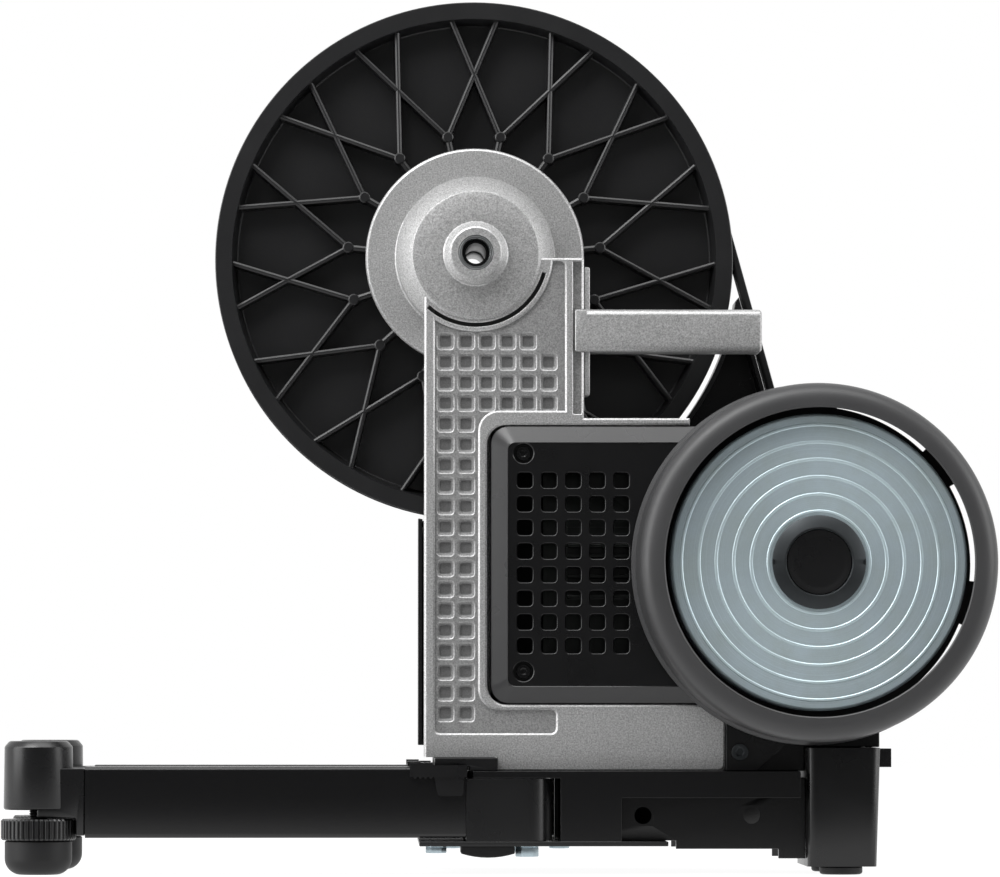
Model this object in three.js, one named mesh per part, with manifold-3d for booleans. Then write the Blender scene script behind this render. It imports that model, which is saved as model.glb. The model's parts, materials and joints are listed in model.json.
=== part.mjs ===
// Direct drive bike trainer with its two front legs folded along its sides.
// Millimetres, +Z up, +X towards the rear of the bike, -Y the flywheel side.
// Everything is laid out from the hub axis. At the end the group is moved so that
// the middle of its footprint on the floor is the origin.

import * as THREE from 'three';
import { mergeVertices } from 'three/addons/utils/BufferGeometryUtils.js';
import Module from 'manifold-3d';

const wasm = await Module();
wasm.setup();

// Clearances shared by all pieces
const fit = 0.3;
const run = 0.6;
const over = 2;
const fullTurn = Math.PI * 2;
const degree = Math.PI / 180;
const weldGap = 1e-4;
const hexSides = 6;
const sides = [-1, 1];

// Segments of round shapes
const roundSegments = { large: 44, medium: 20, small: 12, tiny: 8, corner: 4 };

// Hub axis, from which heights are measured
const axle = {
  lockWidth: 142, radius: 10, bore: 6, capBore: 7.8, capBoreDepth: 8, capLength: 25,
  capChamfer: 0.7,
  bearingRadius: 21, bearingWidth: 10, bearingNearY: -15, bearingFarY: 8,
};

// Head of the frame casting, turned about the hub axis
const head = {
  bossFaceRadius: 15, bossRadius: 18.4, bossChamfer: 4, faceY: -60, faceRadius: 37.4,
  stepRadius: 46.6, stepDepth: 12, flangeY: -31, flangeRadius: 64.7, flangeThickness: 9,
  flangeChamfer: 1.5, grooveRadius: 41.5, grooveWidth: 3.8, grooveDepth: 3,
  grooveStartAngle: -132, grooveEndAngle: -15,
};

// Column and lower arm of the casting
const column = {
  front: -58, back: -20, left: -30, right: 63.6, shoulder: -2.2, wall: 5, faceWall: 8,
  fieldLeft: -23.8, fieldRight: 52.5, fieldTop: -4, fieldUpperEnd: -92, fieldDepth: 2.2,
  fieldHeadRadius: 45.5, fieldRib: 1.5, fieldCorner: 12, fieldBottom: -281,
  footRight: 47.1, footTop: -267.4,
  stripLeft: 57.2, stripRight: 62.3, stripDepth: 5, ribThickness: 5, cells: 3,
};
const pocket = {
  firstX: -17.6, firstZ: -51.2, pitch: 12.12, size: 9.4, floorSize: 6.6, depth: 3, rows: 19,
  columns: 6, topRowColumns: 5, wideRows: 4, narrowColumns: 2,
};
const bay = {
  left: 6.7, top: -100.4, bottom: -264.5, corner: 11.5, floorY: -28, rimTop: -96.4,
  rimRight: 125.8, plateRight: 146.1,
};
const arm = { notchRight: 13.1, notchTop: -295, corner: 4 };

// Flywheel, and the guard round it with its gaps
const flywheel = {
  front: -128, thickness: 40, radius: 85.5, chamfer: 1.6, pocketInner: 24, rimWidth: 9.5,
  pocketDepth: 26, capRadius: 27, capInner: 19, capHeight: 3, capNotch: 1.6, discInner: 15.2,
  discDish: 1,
};
const pocketOuter = flywheel.radius - flywheel.rimWidth;
const guard = {
  front: -138.5, gap: 4.1, dish: 13.8, wall: 2.5, roundDepth: 15, arcSteps: 3, rear: -66,
  flangeLip: 2.2, flangeWidth: 4.5, webY: -75, webThickness: 4, slots: 7, slotInset: 5.4,
  slotWidth: 5.7, slotStartAngle: -6, slotSpanAngle: 35.5,
};
const guardLip = flywheel.radius + guard.gap;
const guardRadius = guardLip + guard.dish;
const guardFlangeRadius = guardRadius + guard.flangeLip;
const stator = {
  airGap: 4, innerShare: 0.639, core: 30, thickness: 12, slotDepth: 8, coilWall: 5,
};
const statorOuter = pocketOuter - stator.airGap;
const coilInner = statorOuter * stator.innerShare - stator.coilWall;

// Rear post, and the flywheel axis just high enough for the guard to clear it
const post = {
  left: 193.2, topRight: 235.9, lowRight: 233.6, front: -77, back: 16, top: -289.5,
  low: -358.6, corner: 5, wall: 4, footRadius: 12.6, footRound: 1.8, footNearY: -64, footFarY: 2,
  footHeight: 4.7, pegRadius: 3, guardGap: 1.4,
};
const floorZ = post.low - post.footHeight;
const shaft = {
  x: 196.4, z: post.top + post.guardGap + guardFlangeRadius, radius: 6, farY: 13,
  pulleyRadius: 6.5, pulleyFlangeRadius: 9.2, bearingRadius: 14, bearingWidth: 8,
  housingRadius: 26, housingFront: -66, housingBack: -14, flangeRadius: 42,
  flangeThickness: 4.7, bearingInset: 3, ribs: 6, ribBottom: 5.8,
};

// Drive pulley and belt
const belt = { thickness: 4.7, outerRadius: 152.3 };
const beltInner = belt.outerRadius - belt.thickness;
const pulley = {
  nearY: -9, width: 22, lip: 1.8, rimWall: 3.9, flangeWidth: 2.2, webY: 6, webThickness: 3.5,
  hubRadius: 45, bore: 30, ribWidth: 3.2, ribY: -5.5, nodes: 15, nodeRadius: 75.4, nodeBoss: 3.4,
  firstNodeAngle: 78, ribSweepAngle: 17.4, innerRibEnd: 42, bossSides: 6,
};
const pulleyRadius = belt.outerRadius + pulley.lip;
const rimInner = beltInner - pulley.rimWall;
const hubShell = {
  nearY: -16, farY: 22.5, flangeRadius: 40, flangeThickness: 4, pilot: 2,
};

// Freehub and sprockets
const freehub = {
  radius: 17, bore: 12, nearY: 22.8, farY: 66.2, splines: 9, splineRadius: 1.8,
  collarRadius: 21, collarWidth: 4,
};
const sprocket = {
  teeth: [28, 25, 23, 21, 19, 17, 15, 14, 13, 12, 11], firstY: 28.2, pitch: 3.7,
  thickness: 1.8, chainPitch: 12.7, tip: 2.9, root: 3.9, spacerRadius: 20.5,
  clusters: [3, 3, 5], toothShares: [[0, 1], [0.5, 0]], turnStep: 0.143,
};
const lockring = { radius: 14.6, width: 2.6, bore: 11 };

// Cover over the brake electronics, with its vents
const brakeCover = {
  left: 9, right: 150, top: -101, bottom: -263.6, corner: 10.5, front: -61.5, edgeY: -56,
  bevel: 9.8, wall: 2.6, ventX: 28.8, ventZ: -133, ventPitchX: 14.14, ventPitchZ: 13.83,
  ventSize: 8.8, ventColumns: 5, ventRows: 8, wellRadius: 5.9, wellDepth: 6,
  wellX: 28, wellUpperZ: -117.2, wellLowerZ: -244.9, wellWall: 2.4, panelStep: 0.8,
  panelCorner: 4.85,
};
const coverScrew = { headRadius: 4.3, headHeight: 3, radius: 2, shankDepth: 17, postRadius: 6 };
const board = {
  left: 40, right: 118, top: -112, bottom: -250, y: -44, thickness: 1.6, postRadius: 4,
  postInset: 7, finHeight: 7, finThickness: 2, finCount: 7, finPitch: 6,
};

// Cover behind the column that guards the belt
const beltCover = {
  left: -33.3, bottom: -288.2, arcGap: 5.1, tipAngle: -9.1, beltGap: 1.8, plateY: 16,
  plateThickness: 2.8, wall: 2.6, nearY: -13.4, endRadius: 27, endFromAngle: 60,
  endToAngle: -60, joinX: 138, joinZ: -270, footX: 128, turnZ: -104, openingFromAngle: -101.2,
  openingToAngle: -58, openingRise: 9, postRadius: 5, postY: -19.7,
  postGap: 22.2, postAngle: -44.55,
};
const lowPostPlaces = [[2, -262], [112, -262]];

// Carrying handle
const handle = {
  left: 58.3, right: 168.1, top: -32.4, bottom: -57.5, front: -60, back: -30,
  round: 3.5, flangeRight: 67.2, flangeTop: -7.5, flangeBottom: -82.8, flangeFront: -56,
};

// Base under the casting
const base = {
  top: -303.1, sheet: 4, sideFront: 77, sideSheet: 3, right: 189.2,
  sideLeft: 49.3, sideLow: -344, sideStep: 84.8, sideHigh: -318.6, plateSheet: 2.7,
  plateLeft: -33, plateRight: 112, halfWidth: 77, turnRadius: 35,
};
const beam = {
  left: 60, right: 192.9, front: -60, back: 2, wall: 4, low: -343.7, midX: 117.2,
  midLow: -348.6, endX: 177.2, endLow: -354.2, holeXs: [97.9, 161.7], holeZ: -329.1,
  holeRadius: 5,
};
const support = {
  left: 146.6, top: -262, front: -54, back: 12, wall: 5, right: 237, step: 192.9, chamfer: 5,
};
const bracket = {
  front: -60, right: 182.2, cutX: 164.6, cutZ: -287.3, screwX: 154.6, screwZ: -292.1,
};
const bracketScrew = { headRadius: 4.9, headHeight: 2.6, radius: 2.5 };
const inlet = {
  size: 10.9, depth: 7.6, y: -50, socket: 3.2, socketDepth: 6, drop: 0.5, barrel: 4.4,
};
const inletZ = post.top - inlet.drop - inlet.size / 2;
const skid = { left: -8.7, right: 22.8, drop: 6.8, near: -70, far: -34, rise: 2.4 };
const catchBlock = { left: -24, right: 12.8, outer: 73, inner: 24, lift: 0.4, stepX: -3.9 };

// Folding legs, given for the +Y side and mirrored for the other
const leg = {
  y: 62, width: 30, top: -300.5, bottom: -341.8, left: -227.3, right: -6, wall: 2,
  corner: 2.5, pivotX: 30, tailRadius: 15, spigot: 32, blockBottom: -343.6,
};
const pivotBolt = { radius: 4, headRadius: 6.9, headHeight: 6.3, hole: 4.4 };
const plateBolt = { radius: 3, headRadius: 6.2, headHeight: 4.2 };
const plateBoltPlaces = {
  stop_bolt_near: [-23.1, -62], stop_bolt_far: [-13.1, 62], base_bolt_far: [52.5, 58],
};
const endCap = {
  x: -255, radius: 20.3, taper: 0.5, top: -285.5, bottom: -325.5, chamfer: 3,
  blockRight: -227.6, blockTop: -301.2, blockBottom: -340.4, cutZ: -330.2, cutRight: -232.6,
  spigot: 22, thread: 6, threadTop: -292,
};
const foot = {
  ringRadius: 21.9, ringTop: -330.9, ringHeight: 12.3, knurls: 24, knurlDepth: 0.9,
  padRadius: 19.6, padRound: 9.5, arcSteps: 6, stem: 5.4, stemTop: -300,
};
const latch = {
  left: -38.5, right: -5.3, lipTop: -299.6, lipBottom: -306.3, lipThickness: 2.8,
  toothPitch: 3.05, toothDepth: 1.1, tabLeft: -24.5, tabLowLeft: -22.2, tabLowRight: -7.6, tabBottom: -317.4,
  plateRight: -25.2, plateTop: -298.1, knobLeft: -39.9, knobRight: -32.4, knobTop: -297.3,
  knobInset: 6,
};

// Colours and finishes
function finish(color, roughness, metalness) {
  return new THREE.MeshStandardMaterial({ color, roughness, metalness });
}
const castSilver = finish(0xa9a9a9, 0.45, 0.7);
const blackPlastic = finish(0x1b1c1d, 0.55, 0);
const satinPlastic = finish(0x3f4041, 0.5, 0);
const paintedSteel = finish(0x161617, 0.5, 0.2);
const zincSteel = finish(0x8a9ba0, 0.3, 0.9);
const brightSteel = finish(0xb9bcbd, 0.25, 1);
const gunmetal = finish(0x3a3d3f, 0.35, 0.8);
const rubber = finish(0x2c2d2e, 0.85, 0);
const boardGreen = finish(0x1f4d33, 0.6, 0);
const copper = finish(0xb06a35, 0.4, 0.8);

// Turns a closed geometry into a solid, with its faces pointing out
function solid(geometry) {
  const plain = geometry.clone();
  plain.deleteAttribute('normal');
  plain.deleteAttribute('uv');
  const merged = mergeVertices(plain, weldGap);
  const source = merged.index.array;
  const spots = merged.attributes.position;
  const kept = [];
  let volume = 0;
  const a = new THREE.Vector3();
  const b = new THREE.Vector3();
  const c = new THREE.Vector3();
  for (let i = 0; i < source.length; i += 3) {
    const [p, q, r] = [source[i], source[i + 1], source[i + 2]];
    if (p === q || q === r || r === p) continue;
    kept.push(p, q, r);
    a.fromBufferAttribute(spots, p);
    b.fromBufferAttribute(spots, q);
    c.fromBufferAttribute(spots, r);
    volume += a.dot(b.cross(c));
  }
  if (volume < 0) {
    for (let i = 0; i < kept.length; i += 3) [kept[i], kept[i + 1]] = [kept[i + 1], kept[i]];
  }
  return new wasm.Manifold(new wasm.Mesh({
    numProp: 3,
    vertProperties: new Float32Array(spots.array),
    triVerts: new Uint32Array(kept),
  }));
}

function join(first, ...others) {
  return others.reduce((whole, next) => whole.add(next), first);
}

function cut(body, ...tools) {
  return tools.reduce((whole, tool) => whole.subtract(tool), body);
}

// Box between two corners
function box(x0, x1, y0, y1, z0, z1) {
  const geometry = new THREE.BoxGeometry(Math.abs(x1 - x0), Math.abs(y1 - y0), Math.abs(z1 - z0));
  geometry.translate((x0 + x1) / 2, (y0 + y1) / 2, (z0 + z1) / 2);
  return solid(geometry);
}

// Outline in X and Z, drawn out along Y
function prismY(shape, y0, y1, curveSegments = roundSegments.tiny) {
  const geometry = new THREE.ExtrudeGeometry(shape, {
    depth: Math.abs(y1 - y0), bevelEnabled: false, curveSegments,
  });
  geometry.rotateX(Math.PI / 2);
  geometry.translate(0, Math.max(y0, y1), 0);
  return solid(geometry);
}

// Outline in X and Y, drawn up along Z
function prismZ(shape, z0, z1, curveSegments = roundSegments.tiny) {
  const geometry = new THREE.ExtrudeGeometry(shape, {
    depth: Math.abs(z1 - z0), bevelEnabled: false, curveSegments,
  });
  geometry.translate(0, 0, Math.min(z0, z1));
  return solid(geometry);
}

// Outline in Y and Z, drawn out along X
function prismX(shape, x0, x1) {
  const geometry = new THREE.ExtrudeGeometry(shape, {
    depth: x1 - x0, bevelEnabled: false, curveSegments: roundSegments.corner,
  });
  geometry.rotateX(Math.PI / 2);
  geometry.rotateZ(Math.PI / 2);
  geometry.translate(x0, 0, 0);
  return solid(geometry);
}

// Closed profile of [radius, y] pairs, turned about an axis along Y
function turnY(profile, x = 0, z = 0, segments = roundSegments.medium) {
  const points = profile.map(([radius, y]) => new THREE.Vector2(radius, y));
  points.push(points[0].clone());
  const geometry = new THREE.LatheGeometry(points, segments);
  geometry.translate(x, 0, z);
  return solid(geometry);
}

// Closed profile of [radius, z] pairs, turned about a standing axis
function turnZ(profile, x = 0, y = 0, segments = roundSegments.medium) {
  const points = profile.map(([radius, z]) => new THREE.Vector2(radius, z));
  points.push(points[0].clone());
  const geometry = new THREE.LatheGeometry(points, segments);
  geometry.rotateX(Math.PI / 2);
  geometry.translate(x, y, 0);
  return solid(geometry);
}

function ringY(inner, outer, y0, y1, x = 0, z = 0, segments = roundSegments.medium) {
  return turnY([[inner, y0], [outer, y0], [outer, y1], [inner, y1]], x, z, segments);
}

function rodY(radius, y0, y1, x = 0, z = 0, segments = roundSegments.small) {
  return ringY(0, radius, y0, y1, x, z, segments);
}

function rodZ(radius, z0, z1, x, y, segments = roundSegments.small) {
  return turnZ([[0, z0], [radius, z0], [radius, z1], [0, z1]], x, y, segments);
}

function outline(points) {
  return new THREE.Shape(points.map(([u, v]) => new THREE.Vector2(u, v)));
}

// Points of a rectangle with round corners
function roundRectPoints(u0, u1, v0, v1, radius) {
  const centres = [
    [u1 - radius, v0 + radius], [u1 - radius, v1 - radius],
    [u0 + radius, v1 - radius], [u0 + radius, v0 + radius],
  ];
  const steps = roundSegments.corner;
  const points = [];
  centres.forEach(([u, v], quarter) => {
    for (let i = 0; i <= steps; i += 1) {
      const angle = (quarter - 1 + i / steps) * (Math.PI / 2);
      points.push([u + radius * Math.cos(angle), v + radius * Math.sin(angle)]);
    }
  });
  return points;
}

function roundRect(...edges) {
  return outline(roundRectPoints(...edges));
}

// Regular polygon for a hexagon head
function polygon(sides, radius, x, y) {
  const points = [];
  for (let i = 0; i < sides; i += 1) {
    const angle = (i / sides) * fullTurn;
    points.push([x + radius * Math.cos(angle), y + radius * Math.sin(angle)]);
  }
  return outline(points);
}

// Closed body through rings of the same number of points
function loft(rings) {
  const count = rings[0].length;
  const corners = rings.flat().flat();
  const faces = [];
  for (let level = 0; level < rings.length - 1; level += 1) {
    for (let i = 0; i < count; i += 1) {
      const next = (i + 1) % count;
      const low = level * count;
      const high = low + count;
      faces.push(low + i, low + next, high + next, low + i, high + next, high + i);
    }
  }
  const capAt = (ring, offset, flip) => {
    for (let i = 1; i < count - 1; i += 1) {
      if (flip) faces.push(offset, offset + i + 1, offset + i);
      else faces.push(offset, offset + i, offset + i + 1);
    }
  };
  capAt(rings[0], 0, true);
  capAt(rings[rings.length - 1], (rings.length - 1) * count, false);
  const geometry = new THREE.BufferGeometry();
  geometry.setAttribute('position', new THREE.Float32BufferAttribute(corners, 3));
  geometry.setIndex(faces);
  return solid(geometry);
}

// Points placed in the plane at one y
function ringAtY(points, y) {
  return points.map(([u, v]) => [u, y, v]);
}

const group = new THREE.Group();

function add(name, body, material) {
  const grid = body.getMesh();
  const geometry = new THREE.BufferGeometry();
  const spots = new Float32Array(grid.vertProperties);
  geometry.setAttribute('position', new THREE.BufferAttribute(spots, 3));
  geometry.setIndex(new THREE.BufferAttribute(new Uint32Array(grid.triVerts), 1));
  geometry.computeVertexNormals();
  const piece = new THREE.Mesh(geometry, material);
  piece.name = name;
  group.add(piece);
}

// Frame casting: head, column, bay plate, lower arm and flywheel bearing housing
function arcBand(inner, outer, from, to) {
  const shape = new THREE.Shape();
  shape.absarc(0, 0, outer, from * degree, to * degree, false);
  shape.absarc(0, 0, inner, to * degree, from * degree, true);
  return shape;
}

function headSolid() {
  const flangeBack = head.flangeY + head.flangeThickness;
  const bossFace = -axle.lockWidth / 2;
  const bore = axle.radius + fit;
  return turnY([
    [bore, bossFace], [head.bossFaceRadius, bossFace],
    [head.bossRadius, bossFace + head.bossChamfer], [head.bossRadius, head.faceY],
    [head.faceRadius, head.faceY], [head.stepRadius, head.faceY + head.stepDepth],
    [head.stepRadius, head.flangeY], [head.flangeRadius - head.flangeChamfer, head.flangeY],
    [head.flangeRadius, head.flangeY + head.flangeChamfer], [head.flangeRadius, flangeBack],
    [bore, flangeBack],
  ], 0, 0, roundSegments.large);
}

function fieldShape() {
  const c = column;
  const r = c.fieldCorner;
  const startAngle = -Math.acos(c.fieldLeft / c.fieldHeadRadius);
  const endAngle = Math.asin(c.fieldTop / c.fieldHeadRadius);
  const shape = new THREE.Shape();
  shape.absarc(0, 0, c.fieldHeadRadius, startAngle, endAngle, false);
  shape.lineTo(c.fieldRight, c.fieldTop);
  shape.lineTo(c.fieldRight, c.fieldUpperEnd);
  shape.absarc(c.fieldRib + r, c.fieldUpperEnd - r, r, Math.PI / 2, Math.PI, false);
  shape.lineTo(c.fieldRib, c.footTop + r);
  shape.absarc(c.fieldRib + r, c.footTop + r, r, Math.PI, Math.PI * 1.5, false);
  shape.lineTo(c.footRight, c.footTop);
  shape.lineTo(c.footRight, c.fieldBottom);
  shape.lineTo(c.fieldLeft, c.fieldBottom);
  return shape;
}

function pocketTool(x, z) {
  const floor = column.front + column.fieldDepth + pocket.depth;
  const ring = (half, y) => [
    [half, -half], [half, half], [-half, half], [-half, -half],
  ].map(([u, v]) => [x + u, y, z + v]);
  const mouth = column.front + column.fieldDepth - over;
  const slope = (pocket.size - pocket.floorSize) / pocket.depth;
  return loft([
    ring(pocket.size / 2 + slope * over / 2, mouth),
    ring(pocket.floorSize / 2, floor),
  ]);
}

function castingSolid() {
  const c = column;
  const platePoints = [
    [bay.left - c.wall, bay.rimTop], [bay.rimRight, bay.rimTop], [bay.rimRight, bay.top],
    [shaft.x + shaft.housingRadius / 2, shaft.z + shaft.housingRadius],
    [shaft.x + shaft.housingRadius / 2, shaft.z - shaft.housingRadius],
    [bay.plateRight, bay.bottom], [bay.plateRight, base.top], [bay.left - c.wall, base.top],
  ];
  const armShape = roundRect(arm.notchRight, bay.plateRight, base.top, bay.bottom, arm.corner);
  let body = join(
    box(c.left, c.right, c.front, c.back, base.top, c.shoulder),
    prismY(armShape, c.front, c.back),
    prismY(outline(platePoints), bay.floorY, c.back),
    box(bay.left, bay.rimRight, c.front, c.back, bay.top, bay.rimTop),
  );
  const bayRight = bay.plateRight + head.flangeRadius;
  const bayTool = prismY(
    roundRect(bay.left, bayRight, bay.bottom, bay.top, bay.corner), c.front - over, bay.floorY,
  );
  const notchTool = box(
    c.left - over, arm.notchRight, c.front - over, c.back + over, base.top - over, arm.notchTop,
  );
  body = cut(body, bayTool, notchTool);

  // Hollow back of the column and arm, with ribs left between the cells
  const cellFront = c.front + c.faceWall;
  const cellTop = -head.flangeRadius - c.wall;
  const cellBottom = arm.notchTop + c.wall;
  const cellRight = bay.left - c.wall;
  const cellHeight = (cellTop - cellBottom) / c.cells;
  for (let i = 0; i < c.cells; i += 1) {
    const low = cellBottom + i * cellHeight + c.ribThickness / 2;
    const high = cellBottom + (i + 1) * cellHeight - c.ribThickness / 2;
    body = cut(body, box(c.left + c.wall, cellRight, cellFront, c.back + over, low, high));
  }
  const armLeft = arm.notchRight + c.wall;
  const armMiddle = (armLeft + bay.plateRight) / 2;
  const armTop = bay.bottom - c.wall;
  body = cut(
    body,
    box(armLeft, armMiddle - c.ribThickness, cellFront, c.back + over, base.top + c.wall, armTop),
    box(armMiddle, bay.plateRight - c.wall, cellFront, c.back + over, base.top + c.wall, armTop),
  );

  // Head, bearing housing and the posts of the cover and the board
  const housing = turnY([
    [shaft.bearingRadius + fit, shaft.housingFront - shaft.flangeThickness],
    [shaft.flangeRadius, shaft.housingFront - shaft.flangeThickness],
    [shaft.flangeRadius, shaft.housingFront],
    [shaft.housingRadius, shaft.housingFront], [shaft.housingRadius, shaft.housingBack],
    [shaft.bearingRadius + fit, shaft.housingBack],
  ], shaft.x, shaft.z);
  const housingBore = rodY(
    shaft.bearingRadius + fit, shaft.housingFront - shaft.flangeThickness - over,
    shaft.housingBack + over, shaft.x, shaft.z, roundSegments.medium,
  );
  body = join(cut(body, housingBore), headSolid(), housing);
  for (const z of [brakeCover.wellUpperZ, brakeCover.wellLowerZ]) {
    const postFront = brakeCover.front + brakeCover.wellDepth + brakeCover.wall + fit;
    const hole = rodY(coverScrew.radius + fit, postFront - over, bay.floorY, brakeCover.wellX, z);
    const standing = rodY(coverScrew.postRadius, postFront, bay.floorY + over, brakeCover.wellX, z);
    body = cut(join(body, standing), hole);
  }
  for (const [x, z] of boardCorners()) {
    const boardBack = board.y + board.thickness + fit;
    body = join(body, rodY(board.postRadius, boardBack, bay.floorY + over, x, z));
  }

  // Openings in the front face: axle bore, arc groove, pocket field and side strip
  body = cut(
    body,
    rodY(axle.radius + fit, -axle.lockWidth, 0, 0, 0, roundSegments.medium),
    prismY(arcBand(
      head.grooveRadius - head.grooveWidth / 2, head.grooveRadius + head.grooveWidth / 2,
      head.grooveStartAngle, head.grooveEndAngle,
    ), head.faceY - over, c.front + head.grooveDepth),
    prismY(fieldShape(), c.front - over, c.front + c.fieldDepth),
    box(c.stripLeft, c.stripRight, c.front - over, c.front + c.stripDepth,
      c.fieldUpperEnd - over, c.shoulder + over),
    box(handle.left - fit, c.right + over, handle.front - over, c.front + c.stripDepth,
      handle.bottom - fit, handle.top + fit),
  );
  const pockets = [];
  for (let row = 0; row < pocket.rows; row += 1) {
    const wide = row === 0 ? pocket.topRowColumns : pocket.columns;
    const count = row < pocket.wideRows ? wide : pocket.narrowColumns;
    for (let i = 0; i < count; i += 1) {
      pockets.push(pocketTool(pocket.firstX + i * pocket.pitch, pocket.firstZ - row * pocket.pitch));
    }
  }
  return cut(body, ...pockets);
}

function boardCorners() {
  const { left, right, top, bottom, postInset: inset } = board;
  return [
    [left + inset, top - inset], [right - inset, top - inset],
    [left + inset, bottom + inset], [right - inset, bottom + inset],
  ];
}

// Carrying handle, a bar with a flange against the column
function handleSolid() {
  const bar = roundRect(handle.front, handle.back, handle.bottom, handle.top, handle.round);
  const tongue = box(
    handle.left, column.right + over, handle.front, column.front + column.stripDepth - fit,
    handle.bottom + handle.round, handle.top - handle.round,
  );
  const flange = box(
    column.right + fit, handle.flangeRight, handle.flangeFront, handle.back,
    handle.flangeBottom, handle.flangeTop,
  );
  return join(prismX(bar, column.right + fit, handle.right), tongue, flange);
}

// Vented cover over the brake electronics, open at the back
function brakeCoverSolid() {
  const b = brakeCover;
  const back = bay.floorY - fit;
  const outer = (inset, corner) => roundRectPoints(
    b.left + inset, b.right - inset, b.bottom + inset, b.top - inset, corner,
  );
  const shell = loft([
    ringAtY(outer(0, b.corner), back), ringAtY(outer(0, b.corner), b.edgeY),
    ringAtY(outer(b.bevel, b.panelCorner), b.front + b.panelStep),
  ]);
  const hollowTop = b.front + b.panelStep + b.wall;
  const panel = prismY(outline(outer(b.bevel, b.panelCorner)), b.front, hollowTop);
  const hollow = join(
    prismY(outline(outer(b.wall, b.corner - b.wall)), back + over, b.edgeY + b.wall),
    loft([
      ringAtY(outer(b.wall, b.corner - b.wall), b.edgeY + b.wall + fit),
      ringAtY(outer(b.wall, b.corner - b.wall), b.edgeY + b.wall),
      ringAtY(outer(b.bevel + b.wall, b.panelCorner), hollowTop),
    ]),
  );
  const wellFloor = b.front + b.wellDepth;
  let body = cut(join(shell, panel), hollow);
  for (const z of [b.wellUpperZ, b.wellLowerZ]) {
    const tube = rodY(b.wellRadius + b.wellWall, b.front + b.wall, wellFloor + b.wall, b.wellX, z);
    body = join(body, tube);
    body = cut(
      body,
      rodY(b.wellRadius, b.front - over, wellFloor, b.wellX, z),
      rodY(coverScrew.radius + fit, wellFloor - over, wellFloor + b.wall + over, b.wellX, z),
    );
  }
  const half = b.ventSize / 2;
  const holes = [];
  for (let row = 0; row < b.ventRows; row += 1) {
    for (let i = 0; i < b.ventColumns; i += 1) {
      const x = b.ventX + i * b.ventPitchX;
      const z = b.ventZ - row * b.ventPitchZ;
      holes.push(box(x - half, x + half, b.front - over, hollowTop + over, z - half, z + half));
    }
  }
  return cut(body, ...holes);
}

function coverScrewSolid(z) {
  const seat = brakeCover.front + brakeCover.wellDepth;
  const x = brakeCover.wellX;
  const head = rodY(coverScrew.headRadius, seat - coverScrew.headHeight, seat, x, z);
  const shank = rodY(coverScrew.radius, seat - over / 2, seat + coverScrew.shankDepth, x, z);
  const socket = prismY(
    polygon(hexSides, coverScrew.radius, x, z), seat - coverScrew.headHeight - over,
    seat - coverScrew.headHeight / 2,
  );
  return cut(join(head, shank), socket);
}

// Control board with its heat sink, on four posts of the bay
function boardSolid() {
  const b = board;
  let body = box(b.left, b.right, b.y, b.y + b.thickness, b.bottom, b.top);
  const sinkLeft = b.left + b.postInset * 2;
  const sinkTop = (b.top + b.bottom) / 2 + b.finPitch * b.finCount / 2;
  const sinkBottom = sinkTop - b.finPitch * b.finCount;
  const sinkFront = b.y - b.finThickness;
  const sinkRight = b.right - b.postInset * 2;
  body = join(body, box(sinkLeft, sinkRight, sinkFront, b.y + b.thickness / 2, sinkBottom, sinkTop));
  for (let i = 0; i < b.finCount; i += 1) {
    const z = sinkTop - (i + 1) * b.finPitch;
    body = join(body, box(
      sinkLeft, sinkRight, sinkFront - b.finHeight, sinkFront + b.thickness / 2,
      z, z + b.finThickness,
    ));
  }
  return body;
}

// Flywheel guard, a dished ring with a slotted back web
function guardSolid() {
  const g = guard;
  const webBack = g.webY + g.webThickness;
  const bore = shaft.bearingRadius + shaft.bearingInset;
  const outerArc = [];
  const innerArc = [];
  for (let i = 0; i <= g.arcSteps; i += 1) {
    const angle = (i / g.arcSteps) * (Math.PI / 2);
    const radius = guardLip + g.dish * Math.sin(angle);
    const y = g.front + g.roundDepth * (1 - Math.cos(angle));
    outerArc.push([radius, y]);
    innerArc.unshift([guardLip + (g.dish - g.wall) * Math.sin(angle), y + g.wall]);
  }
  const body = turnY([
    ...outerArc, [guardRadius, g.rear - g.flangeWidth],
    [guardFlangeRadius, g.rear - g.flangeWidth], [guardFlangeRadius, g.rear],
    [guardRadius - g.wall, g.rear], [guardRadius - g.wall, webBack], [bore, webBack],
    [bore, g.webY], [guardRadius - g.wall, g.webY], ...innerArc,
  ], shaft.x, shaft.z, roundSegments.large);
  const pitch = 360 / g.slots;
  const slotOuter = guardRadius - g.slotInset;
  const slots = [];
  for (let i = 0; i < g.slots; i += 1) {
    const start = g.slotStartAngle + i * pitch;
    const slot = prismY(
      arcBand(slotOuter - g.slotWidth, slotOuter, start, start + g.slotSpanAngle),
      g.webY - over, webBack + over,
    );
    slots.push(slot.translate([shaft.x, 0, shaft.z]));
  }
  return cut(body, ...slots);
}

// Flywheel with a pocket for the brake at its back
function flywheelSolid() {
  const f = flywheel;
  const back = f.front + f.thickness;
  const bore = shaft.radius + fit;
  return turnY([
    [bore, f.front], [f.radius - f.chamfer, f.front], [f.radius, f.front + f.chamfer],
    [f.radius, back - f.chamfer], [f.radius - f.chamfer, back], [pocketOuter, back],
    [pocketOuter, back - f.pocketDepth], [f.pocketInner, back - f.pocketDepth],
    [f.pocketInner, back], [bore, back],
  ], shaft.x, shaft.z, roundSegments.large);
}

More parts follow.
